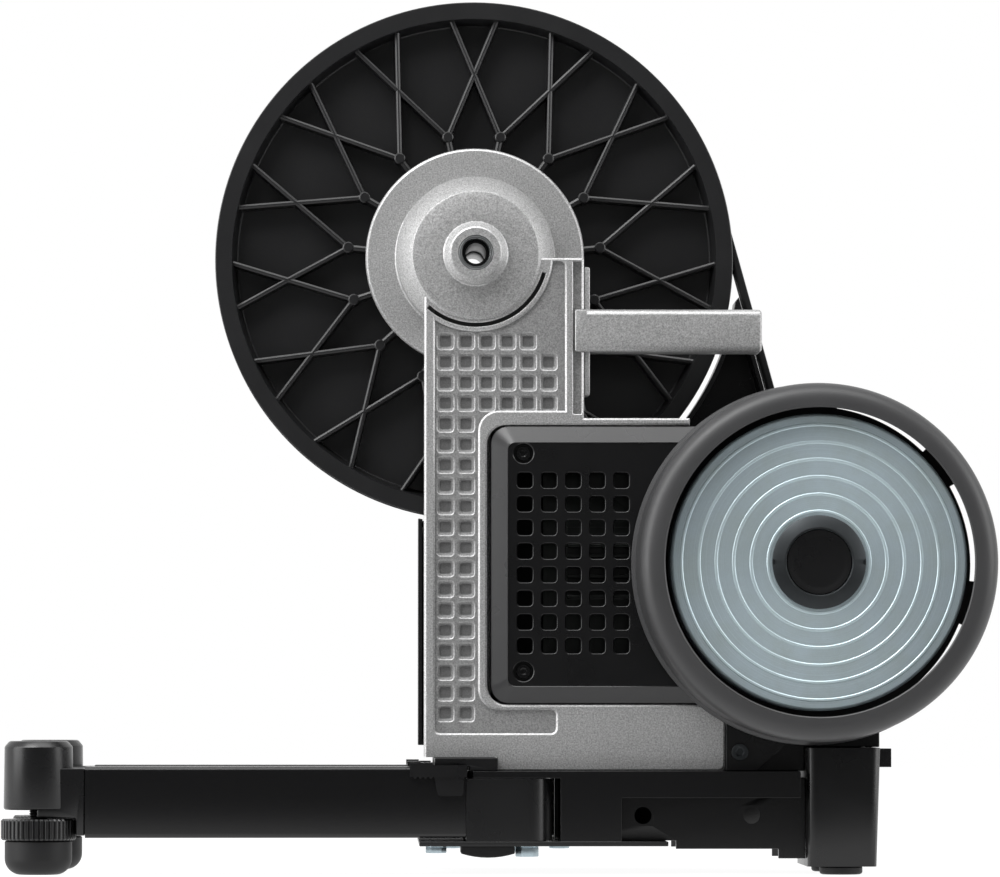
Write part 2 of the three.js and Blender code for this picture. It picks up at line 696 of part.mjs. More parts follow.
function flywheelCapSolid() {
  const f = flywheel;
  const back = f.front - fit;
  const ring = ringY(
    f.capInner, f.capRadius, back - f.capHeight, back, shaft.x, shaft.z, roundSegments.medium,
  );
  const notches = sides.map((side) => rodY(
    f.capNotch, back - f.capHeight - over, back - f.capHeight / 2,
    shaft.x + side * f.capRadius, shaft.z, roundSegments.tiny,
  ));
  return cut(ring, ...notches);
}

function flywheelCapDiscSolid() {
  const f = flywheel;
  const back = f.front - fit;
  return turnY([
    [0, back - f.capHeight + f.discDish], [f.discInner, back - f.capHeight + f.discDish],
    [f.capInner - fit, back - f.capHeight], [f.capInner - fit, back], [0, back],
  ], shaft.x, shaft.z);
}

// Shaft with the small ribbed pulley turned on its drive end
function shaftSolid() {
  const s = shaft;
  const beltNear = pulley.nearY + pulley.flangeWidth;
  const beltFar = pulley.nearY + pulley.width - pulley.flangeWidth;
  const rib = (beltFar - beltNear) / s.ribs;
  const profile = [
    [0, flywheel.front + run], [s.radius, flywheel.front + run], [s.radius, pulley.nearY],
    [s.pulleyFlangeRadius, pulley.nearY], [s.pulleyFlangeRadius, beltNear],
  ];
  for (let i = 0; i < s.ribs; i += 1) {
    profile.push([s.pulleyRadius, beltNear + i * rib], [s.ribBottom, beltNear + (i + 1 / 2) * rib]);
  }
  profile.push(
    [s.pulleyRadius, beltFar], [s.pulleyFlangeRadius, beltFar], [s.pulleyFlangeRadius, s.farY],
    [0, s.farY],
  );
  return turnY(profile, s.x, s.z, roundSegments.small);
}

function shaftBearingSolid(y) {
  return ringY(shaft.radius + fit, shaft.bearingRadius, y, y + shaft.bearingWidth, shaft.x, shaft.z);
}

// Brake: a slotted iron ring and one winding in it, held off the housing flange
function statorSolid() {
  const front = statorFront();
  const back = guard.webY - fit;
  const bore = flywheel.pocketInner + run * 2;
  const coilOuter = statorOuter - stator.coilWall;
  return turnY([
    [coilInner - stator.coilWall, front], [coilInner, front], [coilInner, front + stator.slotDepth],
    [coilOuter, front + stator.slotDepth], [coilOuter, front], [statorOuter, front],
    [statorOuter, front + stator.thickness], [stator.core, front + stator.thickness],
    [stator.core, back], [bore, back], [bore, front + stator.slotDepth],
    [coilInner - stator.coilWall, front + stator.slotDepth],
  ], shaft.x, shaft.z);
}

function statorFront() {
  return flywheel.front + flywheel.thickness - flywheel.pocketDepth + run * 2;
}

function coilSolid() {
  const front = statorFront() + fit;
  return ringY(
    coilInner + fit, statorOuter - stator.coilWall - fit, front,
    front + stator.slotDepth - fit * 2, shaft.x, shaft.z,
  );
}

// Drive pulley: a ribbed disc with a flanged rim for the belt
function pulleySolid() {
  const p = pulley;
  const farY = p.nearY + p.width;
  const webBack = p.webY + p.webThickness;
  const drum = beltInner - fit;
  const disc = turnY([
    [rimInner, p.nearY], [pulleyRadius, p.nearY], [pulleyRadius, p.nearY + p.flangeWidth],
    [drum, p.nearY + p.flangeWidth], [drum, farY - p.flangeWidth],
    [pulleyRadius, farY - p.flangeWidth], [pulleyRadius, farY], [rimInner, farY],
    [rimInner, webBack], [p.hubRadius, webBack], [p.bore, webBack], [p.bore, p.ribY],
    [p.hubRadius, p.ribY], [p.hubRadius, p.webY], [rimInner, p.webY],
  ], 0, 0, roundSegments.large);
  const pitch = 360 / p.nodes;
  const rimReach = (drum + rimInner) / 2;
  const ribs = [];
  for (let i = 0; i < p.nodes; i += 1) {
    const angle = (p.firstNodeAngle + i * pitch) * degree;
    const node = [p.nodeRadius * Math.cos(angle), p.nodeRadius * Math.sin(angle)];
    const inner = [p.innerRibEnd * Math.cos(angle), p.innerRibEnd * Math.sin(angle)];
    ribs.push(ribSolid(inner, node));
    for (const side of sides) {
      const end = angle + side * p.ribSweepAngle * degree;
      ribs.push(ribSolid(node, [rimReach * Math.cos(end), rimReach * Math.sin(end)]));
    }
    ribs.push(rodY(p.nodeBoss, p.ribY - fit, p.webY + over / 2, node[0], node[1], p.bossSides));
  }
  return join(disc, ...ribs);
}

// Upright rib of the pulley between two places
function ribSolid(from, to) {
  const dx = to[0] - from[0];
  const dz = to[1] - from[1];
  const length = Math.hypot(dx, dz);
  const side = [-dz / length * pulley.ribWidth / 2, dx / length * pulley.ribWidth / 2];
  return prismY(outline([
    [from[0] + side[0], from[1] + side[1]], [from[0] - side[0], from[1] - side[1]],
    [to[0] - side[0], to[1] - side[1]], [to[0] + side[0], to[1] + side[1]],
  ]), pulley.ribY, pulley.webY + over / 2);
}

// Loop of the belt round both pulleys, one offset inside the other
function beltLoop(bigRadius, smallRadius) {
  const span = Math.hypot(shaft.x, shaft.z);
  const line = Math.atan2(shaft.z, shaft.x);
  const lean = Math.acos((bigRadius - smallRadius) / span);
  const shape = new THREE.Shape();
  const points = [];
  const bigSteps = roundSegments.large;
  const smallSteps = roundSegments.tiny;
  for (let i = 0; i <= bigSteps; i += 1) {
    const angle = line + lean + (i / bigSteps) * (fullTurn - 2 * lean);
    points.push(new THREE.Vector2(bigRadius * Math.cos(angle), bigRadius * Math.sin(angle)));
  }
  for (let i = 0; i <= smallSteps; i += 1) {
    const angle = line - lean + (i / smallSteps) * 2 * lean;
    points.push(new THREE.Vector2(
      shaft.x + smallRadius * Math.cos(angle), shaft.z + smallRadius * Math.sin(angle),
    ));
  }
  shape.setFromPoints(points);
  return shape;
}

function beltSolid() {
  const innerSmall = shaft.pulleyRadius + fit;
  const near = pulley.nearY + pulley.flangeWidth + fit;
  const far = pulley.nearY + pulley.width - pulley.flangeWidth - fit;
  const outer = prismY(beltLoop(belt.outerRadius, innerSmall + belt.thickness), near, far);
  return cut(outer, prismY(beltLoop(beltInner, innerSmall), near - over, far + over));
}

// Rotating hub shell that the pulley is fixed to, and the fixed axle in it
function hubShellSolid() {
  const h = hubShell;
  const webBack = pulley.webY + pulley.webThickness;
  const flangeY = webBack + fit;
  const bore = axle.bearingRadius + fit;
  return turnY([
    [bore, h.nearY], [pulley.bore - fit, h.nearY], [pulley.bore - fit, flangeY],
    [h.flangeRadius, flangeY], [h.flangeRadius, flangeY + h.flangeThickness],
    [freehub.collarRadius + h.pilot, flangeY + h.flangeThickness],
    [freehub.collarRadius + h.pilot, h.farY], [bore, h.farY],
  ]);
}

function hubBearingSolid(y) {
  return ringY(axle.radius + fit, axle.bearingRadius, y, y + axle.bearingWidth);
}

function axleSolid() {
  const half = axle.lockWidth / 2 - axle.capLength;
  return ringY(axle.bore, axle.radius, -half, half);
}

function axleCapSolid(side) {
  const tip = side * axle.lockWidth / 2;
  const root = side * (axle.lockWidth / 2 - axle.capLength + fit);
  return turnY([
    [axle.bore, root], [axle.radius, root], [axle.radius, tip],
    [axle.capBore + axle.capChamfer, tip], [axle.capBore, tip - side * axle.capChamfer],
    [axle.capBore, tip - side * axle.capBoreDepth], [axle.bore, tip - side * axle.capBoreDepth],
  ]);
}

// Freehub body with its splines
function freehubSolid() {
  const f = freehub;
  const tube = turnY([
    [f.bore, f.nearY], [f.collarRadius, f.nearY], [f.collarRadius, f.nearY + f.collarWidth],
    [f.radius, f.nearY + f.collarWidth], [f.radius, f.farY], [f.bore, f.farY],
  ]);
  const channels = [];
  for (let i = 0; i < f.splines; i += 1) {
    const angle = (i / f.splines) * fullTurn;
    channels.push(rodY(
      f.splineRadius, f.nearY + f.collarWidth, f.farY + over,
      f.radius * Math.cos(angle), f.radius * Math.sin(angle), roundSegments.tiny,
    ));
  }
  return cut(tube, ...channels);
}

function sprocketShape(teeth, turn) {
  const pitchRadius = sprocket.chainPitch / (2 * Math.sin(Math.PI / teeth));
  const points = [];
  for (let i = 0; i < teeth; i += 1) {
    for (const [place, height] of sprocket.toothShares) {
      const angle = ((i + place) / teeth + turn) * fullTurn;
      const radius = pitchRadius - sprocket.root + height * (sprocket.root + sprocket.tip);
      points.push(new THREE.Vector2(radius * Math.cos(angle), radius * Math.sin(angle)));
    }
  }
  return new THREE.Shape(points);
}

// Sprockets first to last of one cluster, each with the spacer that follows it
function clusterSolid(first, count) {
  const bore = freehub.radius + fit;
  const parts = [];
  const start = sprocket.firstY + first * sprocket.pitch;
  const last = first + count - 1;
  const end = sprocket.firstY + last * sprocket.pitch + sprocket.thickness;
  for (let i = first; i <= last; i += 1) {
    const y = sprocket.firstY + i * sprocket.pitch;
    const shape = sprocketShape(sprocket.teeth[i], i * sprocket.turnStep);
    parts.push(prismY(shape, y, y + sprocket.thickness));
  }
  const smallest = sprocket.chainPitch / (2 * Math.sin(Math.PI / sprocket.teeth[last]));
  const collar = Math.min(sprocket.spacerRadius, smallest - sprocket.root);
  const spacerEnd = last < sprocket.teeth.length - 1
    ? end + sprocket.pitch - sprocket.thickness - fit : end;
  parts.push(rodY(collar, start, spacerEnd, 0, 0, roundSegments.medium));
  const hole = rodY(bore, start - over, spacerEnd + over, 0, 0, roundSegments.medium);
  return cut(join(...parts), hole);
}

function lockringSolid() {
  const count = sprocket.teeth.length;
  const start = sprocket.firstY + (count - 1) * sprocket.pitch + sprocket.thickness + fit;
  return ringY(lockring.bore, lockring.radius, start, start + lockring.width);
}

// Belt cover, a tray behind the column, drawn in by an even inset for its hollow
function beltCoverShape(inset) {
  const c = beltCover;
  const span = Math.hypot(shaft.x, shaft.z);
  const line = Math.atan2(shaft.z, shaft.x);
  const normal = line + Math.acos((beltInner - shaft.pulleyRadius - fit) / span);
  const reach = beltInner - c.beltGap - inset;
  const arc = belt.outerRadius + c.arcGap + inset;
  const left = c.left + inset;
  const from = -Math.acos(left / arc);
  const to = Math.min(c.tipAngle * degree, normal - Math.acos(reach / arc));
  const lineAt = (angle) => reach / Math.cos(normal - angle);
  const turnX = (reach - (c.turnZ - inset) * Math.sin(normal)) / Math.cos(normal);
  const shape = new THREE.Shape();
  shape.moveTo(left, c.bottom + inset);
  shape.lineTo(left, arc * Math.sin(from));
  shape.absarc(0, 0, arc, from, to, false);
  shape.lineTo(lineAt(to) * Math.cos(to), lineAt(to) * Math.sin(to));
  shape.lineTo(turnX, c.turnZ - inset);
  shape.absarc(
    shaft.x, shaft.z, c.endRadius - inset, c.endFromAngle * degree, c.endToAngle * degree, true,
  );
  shape.lineTo(c.joinX - inset, c.joinZ + inset);
  shape.lineTo(c.footX - inset, c.bottom + inset);
  return shape;
}

function beltCoverSolid() {
  const c = beltCover;
  const far = c.plateY + c.plateThickness;
  const fine = roundSegments.small;
  const tray = cut(
    prismY(beltCoverShape(0), c.nearY, far, fine),
    prismY(beltCoverShape(c.wall), c.nearY - over, c.plateY, fine),
  );
  const reach = belt.outerRadius + c.arcGap + c.wall + over;
  const strandOpening = prismY(
    arcBand(belt.outerRadius, reach, c.openingFromAngle, c.openingToAngle),
    c.nearY - over, c.plateY,
  );
  const sideOpening = box(
    shaft.x - c.endRadius, shaft.x + c.endRadius + over, c.nearY - over, c.plateY,
    shaft.z + c.openingRise, c.turnZ + over,
  );
  let body = cut(tray, strandOpening, sideOpening);
  const highReach = belt.outerRadius + c.arcGap + c.postGap;
  const highAngle = c.postAngle * degree;
  const highPlace = [highReach * Math.cos(highAngle), highReach * Math.sin(highAngle)];
  for (const [x, z] of [...lowPostPlaces, highPlace]) {
    body = join(body, rodY(c.postRadius, c.postY, c.plateY + c.plateThickness / 2, x, z));
  }
  return body;
}

// Base: folded channel, bottom plate, rear beam and rear post
function baseChannelSolid() {
  const b = base;
  const low = b.top - b.sheet;
  const half = b.sideFront;
  const shape = new THREE.Shape();
  const turn = Math.acos((half - leg.y) / b.turnRadius);
  shape.moveTo(b.right, -half);
  shape.lineTo(b.right, half);
  shape.absarc(leg.pivotX, leg.y, b.turnRadius, Math.PI / 2 + turn, Math.PI, false);
  shape.absarc(leg.pivotX, -leg.y, b.turnRadius, Math.PI, Math.PI * 1.5 - turn, false);
  const side = (y0, y1) => prismY(outline([
    [b.sideLeft, low + b.sheet / 2], [b.sideLeft, b.sideLow], [b.sideStep, b.sideLow],
    [b.sideStep, b.sideHigh], [b.right, b.sideHigh], [b.right, low + b.sheet / 2],
  ]), y0, y1);
  const body = join(
    prismZ(shape, low, b.top), side(-half, b.sideSheet - half), side(half - b.sideSheet, half),
  );
  const holes = sides.map((s) => rodZ(
    pivotBolt.radius + fit, low - over, b.top + over, leg.pivotX, s * leg.y,
  ));
  const [farX, farY] = plateBoltPlaces.base_bolt_far;
  return cut(body, ...holes, rodZ(plateBolt.radius + fit, low - over, b.top + over, farX, farY));
}

function basePlateSolid() {
  const b = base;
  const low = b.sideLow - b.plateSheet;
  const plate = box(b.plateLeft, b.plateRight, -b.halfWidth, b.halfWidth, low, b.sideLow);
  const hole = (radius, x, y) => rodZ(radius + fit, low - over, b.sideLow + over, x, y);
  return cut(
    plate,
    hole(pivotBolt.radius, leg.pivotX, -leg.y),
    hole(pivotBolt.radius, leg.pivotX, leg.y),
    ...Object.values(plateBoltPlaces).map(([x, y]) => hole(plateBolt.radius, x, y)),
  );
}

function rearBeamSolid() {
  const b = beam;
  const top = base.top - base.sheet;
  const sideShape = outline([
    [b.left, top], [b.left, b.low], [b.midX, b.low], [b.midX, b.midLow], [b.endX, b.midLow],
    [b.endX, b.endLow], [b.right, b.endLow], [b.right, top],
  ]);
  const hollow = box(
    b.left - over, b.right + over, b.front + b.wall, b.back - b.wall, b.endLow - over, top - b.wall,
  );
  const holes = b.holeXs.map((x) => rodY(
    b.holeRadius, b.front - over, b.front + b.wall + over, x, b.holeZ,
  ));
  return cut(prismY(sideShape, b.front, b.back), hollow, ...holes);
}

function rearPostSolid() {
  const p = post;
  const ringOf = (right, inset, z) => roundRectPoints(
    p.left + inset, right - inset, p.front + inset, p.back - inset, p.corner - inset / 2,
  ).map(([x, y]) => [x, y, z]);
  const slope = (p.topRight - p.lowRight) / (p.top - p.low);
  const floor = p.low + p.wall;
  const hollow = loft([
    ringOf(p.lowRight + slope * p.wall, p.wall, floor),
    ringOf(p.topRight + slope * over, p.wall, p.top + over),
  ]);
  const halfway = (p.front + p.back) / 2;
  const rib = box(
    p.left + p.wall / 2, p.lowRight - p.wall / 2, halfway - p.wall / 2, halfway + p.wall / 2,
    floor - p.wall / 2, p.top,
  );
  const shell = cut(loft([ringOf(p.lowRight, 0, p.low), ringOf(p.topRight, 0, p.top)]), hollow);
  const body = join(shell, rib);
  const middle = (p.left + p.lowRight) / 2;
  const pegHole = (y) => rodZ(
    p.pegRadius + fit, p.low - over, floor + over, middle, y, roundSegments.tiny,
  );
  const inletHole = box(
    p.topRight - p.wall * 2, p.topRight + over, inlet.y - inlet.barrel - fit,
    inlet.y + inlet.barrel + fit, inletZ - inlet.barrel - fit, inletZ + inlet.barrel + fit,
  );
  return cut(body, pegHole(p.footNearY), pegHole(p.footFarY), inletHole);
}

// Rubber foot of the rear post with its peg
function rearFootSolid(y) {
  const p = post;
  const top = p.low - fit;
  const middle = (p.left + p.lowRight) / 2;
  return turnZ([
    [0, floorZ], [p.footRadius - p.footRound, floorZ],
    [p.footRadius, floorZ + p.footRound], [p.footRadius, top],
    [p.pegRadius, top], [p.pegRadius, p.low + p.wall], [0, p.low + p.wall],
  ], middle, y, roundSegments.small);
}

// Block between the post and the casting, hollow from below
function supportSolid() {
  const s = support;
  const stepZ = post.top + fit;
  const block = prismY(outline([
    [s.left, base.top], [s.step, base.top], [s.step, stepZ], [s.right, stepZ], [s.right, s.top],
    [s.left + s.chamfer, s.top], [s.left, s.top - s.chamfer],
  ]), s.front, s.back);
  const cell = (from, to) => box(
    from, to, s.front + s.wall, s.back - s.wall, base.top - over, s.top - s.wall,
  );
  return cut(
    block, cell(s.left + s.wall, s.step - s.wall), cell(s.step, s.right - s.wall),
  );
}

function bracketSolid() {
  const b = bracket;
  const low = base.top + fit;
  const back = support.front - fit;
  const plate = prismY(outline([
    [support.left, low], [b.cutX, low], [b.right, b.cutZ], [b.right, support.top],
    [support.left, support.top],
  ]), b.front, back);
  return cut(
    plate,
    rodY(bracketScrew.radius + fit, b.front - over, back + over, b.screwX, b.screwZ),
  );
}

function bracketScrewSolid() {
  const b = bracketScrew;
  const seat = bracket.front;
  const head = rodY(b.headRadius, seat - b.headHeight, seat, bracket.screwX, bracket.screwZ);
  const shank = rodY(
    b.radius, seat - b.headHeight / 2, support.front - fit, bracket.screwX, bracket.screwZ,
  );
  const socket = prismY(
    polygon(hexSides, b.radius, bracket.screwX, bracket.screwZ), seat - b.headHeight - over,
    seat - b.headHeight / 2,
  );
  return cut(join(head, shank), socket);
}

// Power socket on the rear of the post
function inletSolid() {
  const face = post.topRight + fit;
  const z = inletZ;
  const half = inlet.size / 2;
  const body = join(
    box(face, face + inlet.depth, inlet.y - half, inlet.y + half, z - half, z + half),
    box(face - post.wall, face + over, inlet.y - inlet.barrel, inlet.y + inlet.barrel,
      z - inlet.barrel, z + inlet.barrel),
  );
  const geometry = new THREE.CylinderGeometry(
    inlet.socket, inlet.socket, inlet.socketDepth + over, roundSegments.small,
  );
  geometry.rotateZ(Math.PI / 2);
  geometry.translate(face + inlet.depth - inlet.socketDepth / 2 + over / 2, inlet.y, z);
  return cut(body, solid(geometry));
}

// Skid under the bottom plate, with a shallow curved sole
function skidSolid() {
  const s = skid;
  const top = base.sideLow - base.plateSheet;
  const steps = roundSegments.tiny;
  const points = [[s.right, top], [s.left, top]];
  for (let i = 0; i <= steps; i += 1) {
    const share = i / steps;
    const bend = 1 - (2 * share - 1) ** 2;
    points.push([s.left + share * (s.right - s.left), top - s.drop + s.rise * (1 - bend)]);
  }
  return prismY(outline(points), s.near, s.far);
}

// Catch block over the folded leg, on the edge of the channel
function catchSolid(side) {
  const c = catchBlock;
  const top = arm.notchTop - fit;
  const low = leg.top + c.lift;
  return prismY(outline([
    [c.left, top], [c.left, low], [c.stepX, low], [c.stepX, base.top], [c.right, base.top],
    [c.right, top],
  ]), side * c.inner, side * c.outer);
}

// Hexagon bolts from below, with the shank standing up
function hexBoltSolid(bolt, x, y, top) {
  const seat = base.sideLow - base.plateSheet;
  const head = prismZ(polygon(hexSides, bolt.headRadius, x, y), seat - bolt.headHeight, seat);
  return join(head, rodZ(bolt.radius, seat - bolt.headHeight / 2, top, x, y));
}

// Folding leg: tube, hinge block, end cap, foot and latch
function legTubeSolid(side) {
  const y = side * leg.y;
  const half = leg.width / 2;
  const section = roundRect(y - half, y + half, leg.bottom, leg.top, leg.corner);
  return cut(prismX(section, leg.left, leg.right), box(
    leg.left - over, leg.right + over, y - half + leg.wall, y + half - leg.wall,
    leg.bottom + leg.wall, leg.top - leg.wall,
  ));
}

function legSpigot(side, from, to) {
  const half = leg.width / 2 - leg.wall - fit;
  const y = side * leg.y;
  const inset = leg.wall + fit;
  return box(from, to, y - half, y + half, leg.bottom + inset, leg.top - inset);
}

function hingeBlockSolid(side) {
  const y = side * leg.y;
  const half = leg.width / 2;
  const top = base.top - base.sheet - fit;
  const start = leg.right + fit;
  const shape = new THREE.Shape();
  shape.moveTo(start, y + half);
  shape.lineTo(start, y - half);
  shape.absarc(leg.pivotX, y, leg.tailRadius, -Math.PI / 2, Math.PI / 2, false);
  const neck = legSpigot(side, leg.right - over, start + over).intersect(
    box(leg.right - over, start + over, y - half, y + half, leg.blockBottom, top),
  );
  return cut(
    join(
      prismZ(shape, leg.blockBottom, top), legSpigot(side, leg.right - leg.spigot, leg.right), neck,
    ),
    rodZ(pivotBolt.hole, leg.blockBottom - over, top + over, leg.pivotX, y),
  );
}

function endCapSolid(side) {
  const e = endCap;
  const y = side * leg.y;
  const half = leg.width / 2;
  const barrel = turnZ([
    [0, e.bottom], [e.radius, e.bottom], [e.radius - e.taper, e.top - e.chamfer],
    [e.radius - e.chamfer, e.top], [0, e.top],
  ], e.x, y);
  const body = join(
    barrel,
    box(e.x, e.blockRight, y - half, y + half, e.cutZ, e.blockTop),
    box(e.cutRight, e.blockRight, y - half, y + half, e.blockBottom, e.blockTop),
    legSpigot(side, e.blockRight - over, leg.left + e.spigot),
  );
  return cut(body, rodZ(e.thread, e.cutZ - over, e.threadTop, e.x, y));
}

function footAdjusterSolid(side) {
  const f = foot;
  const y = side * leg.y;
  const points = [];
  const steps = f.knurls * 2;
  for (let i = 0; i < steps; i += 1) {
    const angle = (i / steps) * fullTurn;
    const radius = f.ringRadius - (i % 2) * f.knurlDepth;
    points.push([endCap.x + radius * Math.cos(angle), y + radius * Math.sin(angle)]);
  }
  return join(
    prismZ(outline(points), f.ringTop - f.ringHeight, f.ringTop),
    rodZ(f.stem, f.ringTop - fit, f.stemTop, endCap.x, y),
  );
}

function footPadSolid(side) {
  const f = foot;
  const top = f.ringTop - f.ringHeight - fit;
  const profile = [[0, top], [0, floorZ]];
  for (let i = 0; i <= f.arcSteps; i += 1) {
    const angle = (i / f.arcSteps) * (Math.PI / 2);
    profile.push([
      f.padRadius - f.padRound * (1 - Math.sin(angle)), floorZ + f.padRound * (1 - Math.cos(angle)),
    ]);
  }
  profile.push([f.padRadius, top]);
  return turnZ(profile, endCap.x, side * leg.y);
}

function latchSolid(side) {
  const l = latch;
  const outer = leg.y + leg.width / 2 + fit;
  const lipOuter = outer + l.lipThickness;
  const inner = leg.y - leg.width / 2;
  const top = box(
    l.left, l.plateRight, side * inner, side * lipOuter, leg.top + fit, l.plateTop,
  );
  const knob = box(
    l.knobLeft, l.knobRight, side * (inner + l.knobInset), side * (outer - l.knobInset),
    leg.top + fit, l.knobTop,
  );
  const edge = [[l.right, l.lipTop], [l.right, l.lipBottom], [l.tabLowRight, l.tabBottom]];
  edge.push([l.tabLowLeft, l.tabBottom], [l.tabLeft, l.lipBottom]);
  for (let x = l.tabLeft - l.toothPitch; x > l.left; x -= l.toothPitch) {
    edge.push([x + l.toothPitch / 2, l.lipBottom - l.toothDepth], [x, l.lipBottom]);
  }
  edge.push([l.left, l.lipBottom], [l.left, l.lipTop]);
  const lip = prismY(outline(edge), side * outer, side * lipOuter);
  return join(top, knob, lip);
}

// Casting side: frame, brake electronics, handle
add('frame_casting', castingSolid(), castSilver);
add('brake_cover', brakeCoverSolid(), blackPlastic);
add('cover_screw_upper', coverScrewSolid(brakeCover.wellUpperZ), paintedSteel);
add('cover_screw_lower', coverScrewSolid(brakeCover.wellLowerZ), paintedSteel);
add('control_board', boardSolid(), boardGreen);
add('carry_handle', handleSolid(), castSilver);

// Flywheel, its guard, shaft, bearings and brake
add('flywheel_guard', guardSolid(), satinPlastic);
add('flywheel', flywheelSolid(), zincSteel);
add('flywheel_cap', flywheelCapSolid(), blackPlastic);
add('flywheel_cap_disc', flywheelCapDiscSolid(), satinPlastic);
add('flywheel_shaft', shaftSolid(), brightSteel);
add('shaft_bearing_near', shaftBearingSolid(shaft.housingFront), brightSteel);
add('shaft_bearing_far', shaftBearingSolid(shaft.housingBack - shaft.bearingWidth), brightSteel);
add('brake_stator', statorSolid(), gunmetal);
add('brake_coil', coilSolid(), copper);

// Drive: pulley, belt, hub and freehub
add('drive_pulley', pulleySolid(), satinPlastic);
add('drive_belt', beltSolid(), rubber);
add('pulley_hub', hubShellSolid(), brightSteel);
add('hub_bearing_near', hubBearingSolid(axle.bearingNearY), brightSteel);
add('hub_bearing_far', hubBearingSolid(axle.bearingFarY), brightSteel);
add('hub_axle', axleSolid(), brightSteel);
add('axle_cap_near', axleCapSolid(-1), gunmetal);
add('axle_cap_far', axleCapSolid(1), gunmetal);
add('freehub_body', freehubSolid(), gunmetal);
const clusterNames = ['cassette_large', 'cassette_middle', 'cassette_small'];
let firstSprocket = 0;
clusterNames.forEach((name, i) => {
  add(name, clusterSolid(firstSprocket, sprocket.clusters[i]), brightSteel);
  firstSprocket += sprocket.clusters[i];
});
add('lockring', lockringSolid(), gunmetal);
add('belt_cover', beltCoverSolid(), blackPlastic);

// Base
add('base_channel', baseChannelSolid(), paintedSteel);
add('base_bottom_plate', basePlateSolid(), paintedSteel);
add('rear_beam', rearBeamSolid(), paintedSteel);
add('rear_post', rearPostSolid(), blackPlastic);
add('rear_foot_near', rearFootSolid(post.footNearY), rubber);
add('rear_foot_far', rearFootSolid(post.footFarY), rubber);
add('flywheel_support', supportSolid(), paintedSteel);
add('guard_bracket', bracketSolid(), blackPlastic);
add('bracket_screw', bracketScrewSolid(), brightSteel);
add('power_inlet', inletSolid(), blackPlastic);
add('base_skid', skidSolid(), rubber);
for (const [name, [x, y]] of Object.entries(plateBoltPlaces)) {
  const through = name.startsWith('base');
  const top = through ? base.top - fit : base.sideLow + fit;
  add(name, hexBoltSolid(plateBolt, x, y, top), zincSteel);
}

// Both legs
for (const [place, side] of [['near', -1], ['far', 1]]) {
  add(`leg_catch_${place}`, catchSolid(side), blackPlastic);
  const pivot = hexBoltSolid(pivotBolt, leg.pivotX, side * leg.y, base.top - fit);
  add(`pivot_bolt_${place}`, pivot, zincSteel);
  add(`leg_tube_${place}`, legTubeSolid(side), paintedSteel);
  add(`leg_hinge_block_${place}`, hingeBlockSolid(side), blackPlastic);
  add(`leg_end_cap_${place}`, endCapSolid(side), blackPlastic);
  add(`foot_adjuster_${place}`, footAdjusterSolid(side), blackPlastic);
  add(`foot_pad_${place}`, footPadSolid(side), rubber);
  add(`leg_latch_${place}`, latchSolid(side), blackPlastic);
}

// Middle of the footprint on the floor
group.updateMatrixWorld(true);
const bounds = new THREE.Box3().setFromObject(group);
const middle = bounds.getCenter(new THREE.Vector3());
group.position.set(-middle.x, -middle.y, -bounds.min.z);

export default group;
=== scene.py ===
"""Direct drive bike trainer with folded legs: looks, stage and camera around its fixed CAD frame.

Sizes in the script are millimetres from the hub axis: X to the rear, Y to the drive side,
Z up. mm() turns them into metres in the frame of the model.
"""

import json
import math

import bmesh
import bpy
from bpy.props import FloatProperty, FloatVectorProperty, IntProperty, PointerProperty
from bpy.types import Operator, Panel, PropertyGroup
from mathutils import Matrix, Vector


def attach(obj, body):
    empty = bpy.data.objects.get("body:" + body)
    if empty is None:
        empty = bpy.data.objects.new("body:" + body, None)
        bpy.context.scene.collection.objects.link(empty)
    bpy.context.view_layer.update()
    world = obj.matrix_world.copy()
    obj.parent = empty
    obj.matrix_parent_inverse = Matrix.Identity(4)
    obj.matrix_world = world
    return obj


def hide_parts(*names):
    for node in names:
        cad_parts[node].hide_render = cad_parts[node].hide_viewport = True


bl_info = {
    "name": "Direct Drive Bike Trainer",
    "version": (1, 0, 0),
    "blender": (4, 5, 0),
    "location": "View3D > Sidebar > Trainer",
    "description": "Builds the detailed pieces of a folding direct drive bike trainer",
    "category": "Add Mesh",
}

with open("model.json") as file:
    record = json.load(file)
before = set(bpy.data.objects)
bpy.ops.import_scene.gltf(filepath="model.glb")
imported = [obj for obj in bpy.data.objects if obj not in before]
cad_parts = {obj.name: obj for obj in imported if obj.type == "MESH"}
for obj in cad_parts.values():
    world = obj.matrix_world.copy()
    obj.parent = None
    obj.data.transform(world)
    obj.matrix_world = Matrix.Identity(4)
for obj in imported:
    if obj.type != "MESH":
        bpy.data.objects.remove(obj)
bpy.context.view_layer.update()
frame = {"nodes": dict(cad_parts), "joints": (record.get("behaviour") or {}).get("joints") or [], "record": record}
HUB = Vector(next(j["pos_m"] for j in frame["joints"] if j["name"] == "pulley_spin"))
UNIT = 0.001
IMAGE_WIDTH = 1000
FOCAL_PIXELS = 6100
SENSOR = 36

